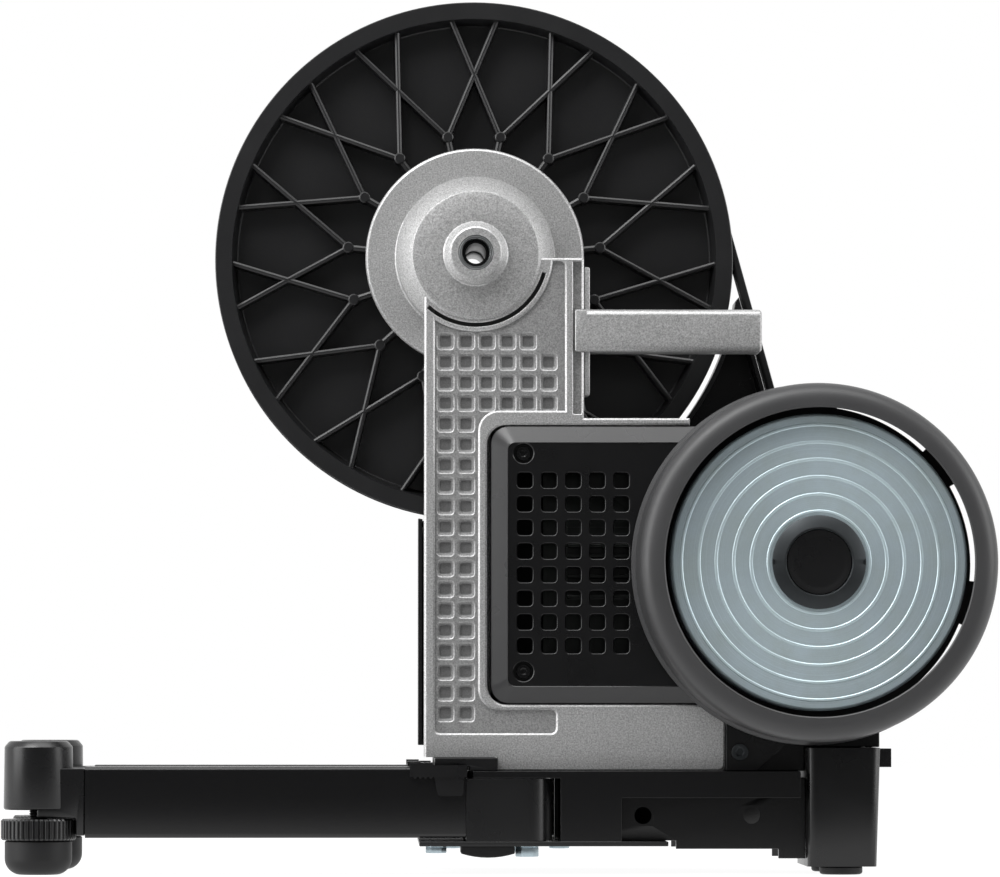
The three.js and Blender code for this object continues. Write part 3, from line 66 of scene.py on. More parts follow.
# Layout that several pieces share, in millimetres from the hub axis.
NEAR, FAR = -1, 1
SIDES = {"near": NEAR, "far": FAR}
SHAFT = (196.4, -182.5)
RIDGES = (29.3, 39.1, 49.2, 59.3, 69.2, 79.3)
AXLE_HALF = 71
FLOOR_Z = -363.3
COLUMN_FRONT, COLUMN_BACK = -58, -20
BAY_FLOOR = -28
SCREW_X = 28
SCREW_Z = (-117.2, -244.9)
BELT_OUTER, BELT_THICK, BELT_SMALL = 152.3, 4.7, 6.8
BELT_NEAR, BELT_FAR = -6.5, 10.5
LEG_Y, LEG_HALF = 62, 15
LEG_TOP, LEG_BOTTOM = -300.5, -341.8
PLATE_BOTTOM = -346.7
FOOT_X = -255
SHARP_ANGLE, ROUND_ANGLE, FLAT_ANGLE = 21, 34, 0.6
MERGE_NEW, MERGE_OLD = 1e-7, 2e-6


def mm(x, y, z):
    """A point in millimetres from the hub axis, in metres in the model's frame."""
    return HUB + Vector((x, y, z)) * UNIT


def srgb(code):
    """Linear colour of a hexadecimal screen colour."""
    channels = [(code >> shift & 255) / 255 for shift in (16, 8, 0)]
    return tuple(c / 12.92 if c < 0.04045 else ((c + 0.055) / 1.055) ** 2.4 for c in channels)


# ---------------------------------------------------------------- settings

def length(name, description, default):
    """A length in millimetres, shown as a plain number."""
    return FloatProperty(name=name, description=description, default=default, min=0.01)


def colour(name, description, code):
    return FloatVectorProperty(
        name=name, description=description, default=srgb(code), subtype="COLOR", size=3,
        min=0, max=1,
    )


class TrainerFinishes(PropertyGroup):
    cast_silver: colour("Cast silver", "Satin cast aluminium of the frame", 0xB4B4B4)
    # Lighter than the black plastic, as a painted highlight on the cover's bevelled border.
    cover_plastic: colour("Cover plastic", "Satin border of the brake cover", 0x2B2B2C)
    black_plastic: colour("Black plastic", "Moulded covers and leg fittings", 0x0F0F10)
    guard_plastic: colour("Guard plastic", "Satin ring round the flywheel", 0x3A3A3B)
    pulley_plastic: colour("Pulley plastic", "Ribbed drive pulley", 0x1A1A1B)
    painted_steel: colour("Painted steel", "Powder coated base and legs", 0x0A0A0B)
    zinc_steel: colour("Zinc steel", "Turned and plated flywheel", 0xADBCC3)
    bright_steel: colour("Bright steel", "Machined shafts, hub and sprockets", 0xB6B9BA)
    gunmetal: colour("Gunmetal", "Dark machined fittings", 0x3D4042)
    rubber: colour("Rubber", "Belt, foot pads and feet", 0x0E0E0F)
    # Near black, darker than a board's own green: partly painted shade behind the vents.
    board: colour("Board", "Coated circuit board", 0x06100B)
    copper: colour("Copper", "Winding of the brake", 0xB06A35)
    grain: length("Casting grain", "Size of the grain of the casting, in mm", 0.9)


class TrainerCasting(PropertyGroup):
    bevel: length("Edge round", "Round of the casting's edges, in mm", 1.1)
    pocket: length("Pocket mouth", "Width of one square pocket, in mm", 9.4)
    pocket_floor: length("Pocket floor", "Width of a pocket at its floor, in mm", 5.8)
    pocket_pitch: length("Pocket pitch", "Distance between pockets, in mm", 12.12)
    pocket_depth: length("Pocket depth", "Depth of a pocket, in mm", 2.5)
    segments: IntProperty(name="Segments", description="Faces round the head", default=144, min=24)


class TrainerDrive(PropertyGroup):
    ribs: IntProperty(name="Rib groups", description="Rib groups round the pulley", default=15, min=3)
    rib_width: length("Rib width", "Width of a pulley rib, in mm", 2.6)
    segments: IntProperty(name="Segments", description="Faces round the pulley", default=180, min=24)
    grooves: IntProperty(name="Belt grooves", description="Ribs along the belt", default=6, min=1)


class TrainerFlywheel(PropertyGroup):
    ridge_width: length("Ridge width", "Width of a turned ridge, in mm", 2.0)
    ridge_height: length("Ridge height", "Height of a turned ridge, in mm", 0.35)
    segments: IntProperty(name="Segments", description="Faces round the wheel", default=180, min=24)


class TrainerCovers(PropertyGroup):
    vent: length("Vent", "Width of one square vent, in mm", 8.8)
    vent_corner: length("Vent corner", "Corner radius of a vent, in mm", 2.0)
    bevel: length("Edge round", "Round of moulded edges, in mm", 0.7)


class TrainerBase(PropertyGroup):
    bevel: length("Edge round", "Round of painted edges, in mm", 0.6)
    tube_corner: length("Tube corner", "Outer corner radius of a leg tube, in mm", 2.5)
    knurls: IntProperty(name="Knurls", description="Grips round a foot's ring", default=44, min=8)


class TrainerStage(PropertyGroup):
    floor: colour("Floor", "Floor and surroundings", 0xFFFFFF)
    key_power: FloatProperty(name="Key light", description="Power of the key light, in W", default=34)
    side_power: FloatProperty(name="Side lights", description="Power of the left light, in W", default=22)
    top_power: FloatProperty(name="Top light", description="Power of the top light, in W", default=20)
    front_level: FloatProperty(
        name="Front level", description="Light of the room behind the camera, against 1", default=0.12,
    )


# ---------------------------------------------------------------- nodes

def plug(tree, slot, value):
    """Links a wire to a socket, or sets the socket's own value."""
    if isinstance(value, Wire):
        tree.links.new(value.socket, slot)
    elif slot.type == "RGBA":
        slot.default_value = (*value[:3], 1.0)
    else:
        slot.default_value = value


def math_node(tree, operation, *values):
    node = tree.nodes.new("ShaderNodeMath")
    node.operation = operation
    for slot, value in zip(node.inputs, values):
        plug(tree, slot, value)
    return Wire(tree, node.outputs[0])


class Wire:
    """A number socket that takes part in Python expressions by adding Math nodes."""

    def __init__(self, tree, socket):
        self.tree = tree
        self.socket = socket

    def then(self, operation, *others):
        return math_node(self.tree, operation, self, *others)

    def __add__(self, other):
        return self.then("ADD", other)

    def __sub__(self, other):
        return self.then("SUBTRACT", other)

    def __rsub__(self, other):
        return math_node(self.tree, "SUBTRACT", other, self)

    def __mul__(self, other):
        return self.then("MULTIPLY", other)

    def __pow__(self, other):
        return self.then("POWER", other)

    __radd__ = __add__
    __rmul__ = __mul__

    def clamp(self):
        return self.then("MINIMUM", 1.0).then("MAXIMUM", 0.0)

    def near(self, middle, half):
        """1 within half of the middle, 0 elsewhere."""
        return self.then("COMPARE", middle, half)

    def span(self, low, high):
        """A wire from 0 to 1 made to run from low to high."""
        return self * (high - low) + low


class Nodes:
    """A node tree, with a short way to add nodes to it."""

    def __init__(self, tree):
        self.tree = tree

    def add(self, kind, settings=None, output=0, **values):
        """Adds any node. Settings come first, then the values or links of its sockets."""
        node = self.tree.nodes.new(kind)
        for label, value in (settings or {}).items():
            setattr(node, label, value)
        for label, value in values.items():
            plug(self.tree, node.inputs[label.replace("_", " ")], value)
        return Wire(self.tree, node.outputs[output])

    def parts(self, vector):
        """The three numbers of a vector, as wires."""
        split = self.tree.nodes.new("ShaderNodeSeparateXYZ")
        plug(self.tree, split.inputs[0], vector)
        return [Wire(self.tree, number) for number in split.outputs]

    def mix_shaders(self, amount, first, second):
        mix = self.tree.nodes.new("ShaderNodeMixShader")
        for slot, value in zip(mix.inputs, (amount, first, second)):
            plug(self.tree, slot, value)
        return Wire(self.tree, mix.outputs[0])


# ---------------------------------------------------------------- finishes

def shade(color, amount):
    """A colour made lighter or darker."""
    return tuple(min(1.0, channel * amount) for channel in color[:3])


class Finish(Nodes):
    """A material with one Principled shader. Keywords are the shader's fixed values."""

    def __init__(self, name, **fixed):
        self.material = bpy.data.materials.new(name)
        self.material.use_nodes = True
        super().__init__(self.material.node_tree)
        self.set(**fixed)
        self.place = self.add("ShaderNodeTexCoord", output="Object")

    def set(self, **values):
        shader = self.tree.nodes["Principled BSDF"]
        for label, value in values.items():
            plug(self.tree, shader.inputs[label.replace("_", " ")], value)

    def noise(self, size, detail=3.0, rough=0.55):
        """Noise whose blobs are about size millimetres across."""
        return self.add(
            "ShaderNodeTexNoise", output="Fac", Vector=self.place, Scale=1 / (size * UNIT),
            Detail=detail, Roughness=rough,
        )

    def marks(self, radius, size, detail=3.0, rough=0.5):
        """Turning marks about size millimetres apart."""
        return self.add(
            "ShaderNodeTexNoise", {"noise_dimensions": "1D"}, output="Fac", W=radius,
            Scale=1 / (size * UNIT), Detail=detail, Roughness=rough,
        )

    def blend(self, amount, low, high):
        """Colour between two colours."""
        node = self.tree.nodes.new("ShaderNodeMix")
        node.data_type = "RGBA"
        for place, value in ((0, amount), (6, low), (7, high)):
            plug(self.tree, node.inputs[place], value)
        return Wire(self.tree, node.outputs[2])

    def tones(self, amount, color, dark, light):
        """A colour between a darker and a lighter tone of itself."""
        return self.blend(amount, shade(color, dark), shade(color, light))

    def around(self, x=0, z=0):
        """Distance from an axis along Y, and the angle round it in turns, as two wires."""
        centre = mm(x, 0, z)
        across, _, up = self.parts(self.place)
        across, up = across - centre.x, up - centre.z
        radius = (across * across + up * up) ** 0.5
        return radius, up.then("ARCTAN2", across) * (1 / math.tau)

    def inside(self, low, high):
        """1 between two corners given in millimetres from the hub axis, 0 elsewhere."""
        result = 1.0
        for wire, start, end in zip(self.parts(self.place), mm(*low), mm(*high)):
            result = wire.near((start + end) / 2, (end - start) / 2) * result
        return result

    def done(self, color, roughness, height, strength, depth):
        """Links the colour, the roughness and a bump depth millimetres deep."""
        normal = self.add(
            "ShaderNodeBump", Height=height, Strength=strength, Distance=depth * UNIT,
        )
        self.set(Base_Color=color, Roughness=roughness, Normal=normal)
        return self.material


def cast_metal(color, grain):
    """Satin cast aluminium: fine sparkling grain over soft patches, with painted shade that darkens the sunk
    field, the pocket floors, the groove round the head and the bay behind the cover.
    """
    finish = Finish("cast_silver", Metallic=0.55)
    fine = finish.noise(grain, 2.0, 0.7)
    speck = ((fine - 0.5) * 2.6 + 0.5).clamp()
    tone = finish.tones(speck, color, 0.62, 1.45)
    patch = finish.blend(finish.noise(38, 2.0) * 0.3, tone, shade(color, 0.8))
    # Painted shade: the sunk field is darkened, and the pocket floors darker still.
    field = finish.inside((-23.9, -57, -281), (52.6, -50, -4)) * 0.34
    pocket_floor_shade = finish.inside((-23.9, -54, -281), (52.6, -50, -4)) * 0.42
    recess = finish.blend((field + pocket_floor_shade).clamp(), patch, shade(color, 0.3))
    # Painted shade: the bay behind the brake cover and the groove round the head are darkened almost to black,
    # where light does not reach.
    bay = finish.inside((9.5, -54, -262), (200, -20, -103))
    radius, turn = finish.around()
    groove = radius.near(41.5 * UNIT, 1.85 * UNIT) * turn.near(-0.204, 0.162)
    groove = groove * finish.inside((-60, -57.4, -60), (60, -50, 60)) * 0.75
    painted_sunk_shade = finish.blend((bay + groove).clamp(), recess, srgb(0x080808))
    return finish.done(painted_sunk_shade, fine.span(0.28, 0.5), fine, 0.45, 0.16)


def moulded_plastic(name, color, grain=0.45, roughness=0.27, depth=0.03, wear=1.22):
    """Spark eroded plastic with a soft, uneven sheen."""
    finish = Finish(name)
    fine = finish.noise(grain, rough=0.6)
    wide = finish.noise(30)
    tone = finish.tones(fine * 0.6 + wide * 0.4, color, 0.82, wear)
    return finish.done(tone, wide.span(roughness - 0.06, roughness + 0.08), fine, 0.5, depth)


def cover_plastic(color, panel):
    """Satin border round a darker panel, of the brake cover; the border's lighter colour stands in for the light
    on its bevel, a painted highlight.
    """
    finish = Finish("cover_plastic")
    fine = finish.noise(0.45)
    wide = finish.noise(30)
    middle = finish.inside((19.2, -70, -253.4), (139.8, -30, -111.2))
    # Painted highlight: the bevelled border is lighter than the panel inside it.
    border = finish.tones(fine, color, 0.85, 1.2)
    tone = finish.blend(middle, border, finish.tones(wide, panel, 0.7, 1.3))
    return finish.done(tone, wide.span(0.24, 0.32), fine, 0.4, 0.03)


def powder_coat(color):
    """Black powder coat with a slight orange peel."""
    finish = Finish("painted_steel")
    peel = finish.noise(1.3, 2.0, 0.4)
    tone = finish.tones(finish.noise(55, 2.0), color, 0.85, 1.2)
    return finish.done(tone, peel.span(0.2, 0.28), peel, 0.4, 0.03)


def turned_zinc(color):
    """Zinc plated steel with fine turning rings and faint stains, a painted sheen that varies with the angle round
    the shaft, and painted highlights on the ridges.
    """
    finish = Finish("zinc_turned", Metallic=0.5)
    radius, angle = finish.around(*SHAFT)
    rings = finish.marks(radius, 0.9, 4.0, 0.7)
    pits = finish.noise(1.1, 2.0)
    # Painted sheen: the colour brightens and darkens twice round the wheel, as light on its turning marks would.
    sheen = (angle * 2 * math.tau - 2.6).then("COSINE")
    tone = finish.tones(rings * 0.5 + sheen * 0.25 + 0.25, color, 0.78, 1.22)
    tint = finish.blend((finish.noise(26, 4.0, 0.6) - 0.42) * 1.4, tone, srgb(0x9EA9A2))
    # Painted highlight: the colour is made much lighter along each turned ridge.
    ridges = 0.0
    for place in RIDGES:
        ridges = radius.near(place * UNIT, 1.0 * UNIT) + ridges
    lit = finish.blend(ridges * 0.3 + pits * 0.1, tint, shade(color, 1.9))
    return finish.done(lit, rings.span(0.3, 0.44), rings + pits * 0.3, 0.6, 0.12)


def zinc_plate(color):
    """Zinc plated fasteners, with painted shade that makes them near black where they pass inside the base."""
    finish = Finish("zinc_plated", Metallic=0.9)
    cloud = finish.noise(3.5)
    plated = finish.tones(cloud, color, 0.82, 1.25)
    # Painted shade: near black between the base's bottom plate and its top, where the shanks sit in the dark.
    painted_shank_shade = finish.inside((-300, -100, -344), (300, 100, -290))
    tone = finish.blend(painted_shank_shade, plated, srgb(0x0C0C0C))
    return finish.done(tone, cloud.span(0.25, 0.42), cloud, 0.3, 0.04)


def machined(name, color, roughness, metallic=1.0):
    """Machined metal with turning marks round the hub axis, and painted shade that makes it near black inside the
    axle's bore.
    """
    finish = Finish(name, Metallic=metallic)
    radius, _ = finish.around()
    marks = finish.marks(radius, 0.5)
    worked = finish.tones(finish.noise(9), color, 0.8, 1.15)
    # Painted shade: near black within 8.2 mm of the hub axis, inside the bore.
    tone = finish.blend(radius.then("GREATER_THAN", 8.2 * UNIT), shade(color, 0.1), worked)
    return finish.done(tone, marks.span(roughness - 0.06, roughness + 0.1), marks, 0.25, 0.03)


def matt_rubber(color):
    """Matt rubber with a dusty bloom."""
    finish = Finish("rubber", Specular_IOR_Level=0.35)
    dust = finish.noise(14, 5.0, 0.65)
    tone = finish.tones(dust, color, 0.8, 1.45)
    return finish.done(tone, dust.span(0.42, 0.6), finish.noise(0.6, 2.0), 0.5, 0.04)


def circuit_board(color):
    """Coated board with darker tracks and bright pads."""
    finish = Finish("board", Coat_Weight=0.3, Coat_Roughness=0.2)
    track = finish.add(
        "ShaderNodeTexBrick", {"offset": 0.3}, output="Fac", Vector=finish.place,
        Scale=1 / (9 * UNIT), Mortar_Size=0.06,
    )
    pad = finish.add(
        "ShaderNodeTexVoronoi", output="Distance", Vector=finish.place, Scale=1 / (5 * UNIT),
    )
    return finish.done(finish.tones(track, color, 1, 0.5), pad.span(0.3, 0.5), track, 0.4, 0.08)


def wound_copper(color):
    """Lacquered copper wire, turn beside turn, each turn with a painted highlight and painted shade between the
    turns.
    """
    finish = Finish("copper", Metallic=0.8)
    radius, _ = finish.around(*SHAFT)
    # The colour follows the same wave as the bump: painted highlight on each turn, painted shade between turns.
    shine = (radius * (math.tau / (0.9 * UNIT))).then("SINE") * 0.5 + 0.5
    return finish.done(finish.tones(shine, color, 0.45, 1.2), shine.span(0.5, 0.3), shine, 0.6, 0.2)


MATERIALS = {}


def make_finishes(f):
    """All materials, under the names the pieces ask for."""
    MATERIALS.update({
        "cast_silver": cast_metal(f.cast_silver, f.grain),
        "black_plastic": moulded_plastic("black_plastic", f.black_plastic),
        "cover_plastic": cover_plastic(f.cover_plastic, f.black_plastic),
        "guard_plastic": moulded_plastic("guard_plastic", f.guard_plastic, 0.6, 0.42, 0.06, 1.12),
        "pulley_plastic": moulded_plastic("pulley_plastic", f.pulley_plastic, 1.3, 0.34, 0.08, 1.35),
        "painted_steel": powder_coat(f.painted_steel),
        "zinc_turned": turned_zinc(f.zinc_steel),
        "zinc_plated": zinc_plate(f.zinc_steel),
        "bright_steel": machined("bright_steel", f.bright_steel, 0.28),
        "gunmetal": machined("gunmetal", f.gunmetal, 0.36, 0.8),
        "rubber": matt_rubber(f.rubber),
        "board": circuit_board(f.board),
        "copper": wound_copper(f.copper),
    })


# ---------------------------------------------------------------- mesh tools

def along_x(u, v, place):
    return mm(place, u, v)


def along_y(u, v, place):
    return mm(u, place, v)


def along_z(u, v, place):
    return mm(u, v, place)


def to_object(name, bm):
    """Object from a mesh under work, with doubles merged and faces turned out."""
    bmesh.ops.remove_doubles(bm, verts=bm.verts, dist=MERGE_NEW)
    bmesh.ops.recalc_face_normals(bm, faces=bm.faces)
    mesh = bpy.data.meshes.new(name)
    bm.to_mesh(mesh)
    bm.free()
    piece = bpy.data.objects.new(name, mesh)
    bpy.context.scene.collection.objects.link(piece)
    return piece


def skin(name, rings, wrap=False):
    """Body through rings of points. Its ends are capped unless the rings wrap round."""
    bm = bmesh.new()
    layers = [[bm.verts.new(p) for p in ring] for ring in rings]
    pairs = list(zip(layers, layers[1:]))
    if wrap:
        pairs.append((layers[-1], layers[0]))
    count = len(layers[0])
    for low, high in pairs:
        for i in range(count):
            j = (i + 1) % count
            bm.faces.new((low[i], low[j], high[j], high[i]))
    if not wrap:
        bm.faces.new(layers[0][::-1])
        bm.faces.new(layers[-1])
    return to_object(name, bm)


def loft(name, layers, point=along_y):
    """Closed body through outlines in turn: [(points, place on the axis), ...]."""
    return skin(name, [[point(u, v, place) for u, v in points] for points, place in layers])


def prism(name, points, start, end, point=along_y):
    return loft(name, [(points, start), (points, end)], point)


def block(name, x0, x1, y0, y1, z0, z1):
    return prism(name, [(x0, z0), (x1, z0), (x1, z1), (x0, z1)], y0, y1)


def rod(name, radius, start, end, u=0, v=0, segments=32, point=along_y):
    return prism(name, circle(radius, u, v, segments), start, end, point)


def raised(name, outline, front, back, edge):
    """Body whose front edge is chamfered; outline(grow) gives its points."""
    return loft(name, [
        (outline(-edge), front), (outline(0), front + edge * 0.8), (outline(0), back),
    ])


def sunk(name, outline, front, floor, edge):
    """Cutter for a recess with a chamfered mouth; outline(grow) gives its points."""
    return loft(name, [
        (outline(edge * 1.5), front - edge * 0.4), (outline(0), front + edge * 0.8), (outline(0), floor),
    ])


def turned(name, profile, u=0, v=0, segments=96, point=along_y):
    """Closed profile of (radius, place on the axis) pairs, turned about that axis."""
    rings = []
    for i in range(segments):
        angle = math.tau * i / segments
        rings.append([point(*polar(radius, angle, u, v), place) for radius, place in profile])
    return skin(name, rings, wrap=True)


def polar(radius, angle, u=0, v=0):
    """Point at a distance from (u, v), at an angle in radians."""
    return u + radius * math.cos(angle), v + radius * math.sin(angle)


def circle(radius, u=0, v=0, segments=32):
    return [polar(radius, math.tau * i / segments, u, v) for i in range(segments)]


def arc(u, v, radius, start, end, steps=8):
    """Points on an arc, with its angles in degrees."""
    return [
        polar(radius, math.radians(start + (end - start) * i / steps), u, v)
        for i in range(steps + 1)
    ]


def round_rect(u0, u1, v0, v1, radius, steps=5):
    return (
        arc(u1 - radius, v0 + radius, radius, -90, 0, steps)
        + arc(u1 - radius, v1 - radius, radius, 0, 90, steps)
        + arc(u0 + radius, v1 - radius, radius, 90, 180, steps)
        + arc(u0 + radius, v0 + radius, radius, 180, 270, steps)
    )


def arc_band(inner, outer, start, end, steps=24, x=0, z=0):
    return arc(x, z, outer, start, end, steps) + arc(x, z, inner, end, start, steps)


def apply_modifiers(piece):
    """Turns the modifiers of a piece into plain mesh."""
    graph = bpy.context.evaluated_depsgraph_get()
    result = bpy.data.meshes.new_from_object(piece.evaluated_get(graph))
    piece.modifiers.clear()
    old = piece.data
    piece.data = result
    bpy.data.meshes.remove(old)
    result.name = piece.name
    return piece


def combine(piece, others, operation, crossing=False):
    """Boolean of a piece with others, which are used up and may cross themselves."""
    for other in others:
        step = piece.modifiers.new(operation, "BOOLEAN")
        step.operation = operation
        step.solver = "EXACT"
        step.use_self = crossing
        step.object = other
    apply_modifiers(piece)
    for other in others:
        bpy.data.objects.remove(other)
    return piece


def cut(piece, *tools):
    return combine(piece, tools, "DIFFERENCE")


def join(piece, *others):
    return combine(piece, others, "UNION")


def merged(piece, flat=None):
    """Merges doubles and, where an angle is given, faces that lie in one plane."""
    bm = bmesh.new()
    bm.from_mesh(piece.data)
    bmesh.ops.remove_doubles(bm, verts=bm.verts, dist=MERGE_OLD)
    if flat:
        bmesh.ops.dissolve_limit(
            bm, angle_limit=math.radians(flat), verts=bm.verts, edges=bm.edges,
        )
    bm.to_mesh(piece.data)
    bm.free()
    return piece


def rounded(piece, width, segments=2):
    """Rounds the edges of a piece, width in millimetres."""
    merged(piece, FLAT_ANGLE)
    step = piece.modifiers.new("edge_round", "BEVEL")
    step.width = width * UNIT
    step.segments = segments
    step.limit_method = "ANGLE"
    step.angle_limit = math.radians(ROUND_ANGLE)
    step.use_clamp_overlap = True
    step.miter_outer = "MITER_ARC"
    return apply_modifiers(piece)


def socket_screw(x, z, radii, front, seat, end, deep, edge):
    """Screw along Y with a hexagon socket, from the radii of its head and its shank."""
    head = rod("head", radii[0], front, seat, x, z, 48)
    socket = prism("socket", circle(radii[1], x, z, 6), front - 1.5, front + deep)
    shank = rod("shank", radii[1], seat - 0.5, end, x, z, 24)
    return join(rounded(cut(head, socket), edge), shank)


def copy_of(node):
    """Merged copy of a CAD node's mesh, to be rounded."""
    piece = bpy.data.objects.new(node + "_look", frame["nodes"][node].data.copy())
    bpy.context.scene.collection.objects.link(piece)
    return merged(piece)


def finish(piece, body, slot, material, node):
    """Gives a piece its material and its body, and hides the CAD node that it stands for."""
    piece.data.shade_smooth()
    piece.data.set_sharp_from_angle(angle=math.radians(SHARP_ANGLE))
    piece.data.materials.clear()
    piece.data.materials.append(MATERIALS[material])
    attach(piece, body)
    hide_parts(node)


def rounded_node(node, width, slot, material, segments=2):
    """A CAD node shown with rounded edges."""
    body = next(b for b, names in frame["record"]["behaviour"]["bodies"].items() if node in names)
    finish(rounded(copy_of(node), width, segments), body, slot, material, node)


def dress(node, material):
    """A CAD node shown as it is, with a better material."""
    shown = frame["nodes"][node]
    shown.data.materials.clear()
    shown.data.materials.append(MATERIALS[material])


# ---------------------------------------------------------------- geometry nodes

def array_tree(name, inputs, places):
    """Tree that sets copies of a tool object at places worked out from their index."""
    tree = bpy.data.node_groups.new(name, "GeometryNodeTree")
    labels = {
        "Tool": ("NodeSocketObject", None), "Material": ("NodeSocketMaterial", None),
        "Count": ("NodeSocketInt", 1), **inputs,
    }
    tree.interface.new_socket(name="Geometry", in_out="INPUT", socket_type="NodeSocketGeometry")
    for label, (kind, default) in labels.items():
        socket = tree.interface.new_socket(name=label, in_out="INPUT", socket_type=kind)
        if default is not None:
            socket.default_value = default
    tree.interface.new_socket(name="Geometry", in_out="OUTPUT", socket_type="NodeSocketGeometry")
    nodes = Nodes(tree)
    group = tree.nodes.new("NodeGroupInput")
    given = {label: Wire(tree, group.outputs[label]) for label in labels}
    place, turn = places(nodes, given, nodes.add("GeometryNodeInputIndex"))
    points = nodes.add("GeometryNodePoints", Count=given["Count"], Position=place)
    tool = nodes.add("GeometryNodeObjectInfo", output="Geometry", Object=given["Tool"])
    spread = nodes.add("GeometryNodeInstanceOnPoints", Points=points, Instance=tool, Rotation=turn)
    real = nodes.add("GeometryNodeRealizeInstances", Geometry=spread)
    paint = nodes.add("GeometryNodeSetMaterial", Geometry=real, Material=given["Material"])
    plug(tree, tree.nodes.new("NodeGroupOutput").inputs[0], paint)
    return tree


def grid_places(nodes, given, index):
    """Rows and columns in X and Z, none of them turned."""
    column = index.then("MODULO", given["Columns"])
    row = index.then("DIVIDE", given["Columns"]).then("FLOOR")
    place = nodes.add(
        "ShaderNodeCombineXYZ", X=column * given["Pitch X"], Z=row * given["Pitch Z"] * -1.0,
    )
    return place, (0, 0, 0)


def ring_places(nodes, given, index):
    """Even places round an axis along Y, each copy turned with its place."""
    angle = index * math_node(nodes.tree, "DIVIDE", math.tau, given["Count"]) * -1.0
    place = nodes.add(
        "ShaderNodeVectorRotate", {"rotation_type": "Y_AXIS"}, Center=given["Centre"], Angle=angle,
    )
    return place, nodes.add("ShaderNodeCombineXYZ", Y=angle)


def array_of(tool, tree, **values):
    """Runs an array tree for a tool object, which is used up, and returns the plain result."""
    name = tool.name + "_row"
    piece = bpy.data.objects.new(name, bpy.data.meshes.new(name))
    bpy.context.scene.collection.objects.link(piece)
    step = piece.modifiers.new("array", "NODES")
    step.node_group = tree
    sockets = {
        item.name: item.identifier for item in tree.interface.items_tree if item.in_out == "INPUT"
    }
    step[sockets["Tool"]] = tool
    for label, value in values.items():
        step[sockets[label.replace("_", " ")]] = value
    apply_modifiers(piece)
    bpy.data.objects.remove(tool)
    return piece


def square_grid(name, x, z, layers, steps, material, rows, columns, pitch_x, pitch_z):
    """Rows and columns of square cutters through (half width, corner radius, y) layers."""
    tree = array_tree(name + "_grid", {
        "Columns": ("NodeSocketInt", 1), "Pitch X": ("NodeSocketFloat", 0.01),
        "Pitch Z": ("NodeSocketFloat", 0.01),
    }, grid_places)
    tool = loft(name, [
        (round_rect(x - half, x + half, z - half, z + half, corner, steps), y)
        for half, corner, y in layers
    ])
    return array_of(
        tool, tree, Material=MATERIALS[material], Count=rows * columns, Columns=columns,
        Pitch_X=pitch_x * UNIT, Pitch_Z=pitch_z * UNIT,
    )


# ---------------------------------------------------------------- pieces

class BuildFinishes(Operator):
    """Makes every material of the trainer"""
    bl_idname = "trainer.finishes"
    bl_label = "Finishes"

    def execute(self, context):
        make_finishes(context.scene.trainer_finishes)
        return {"FINISHED"}


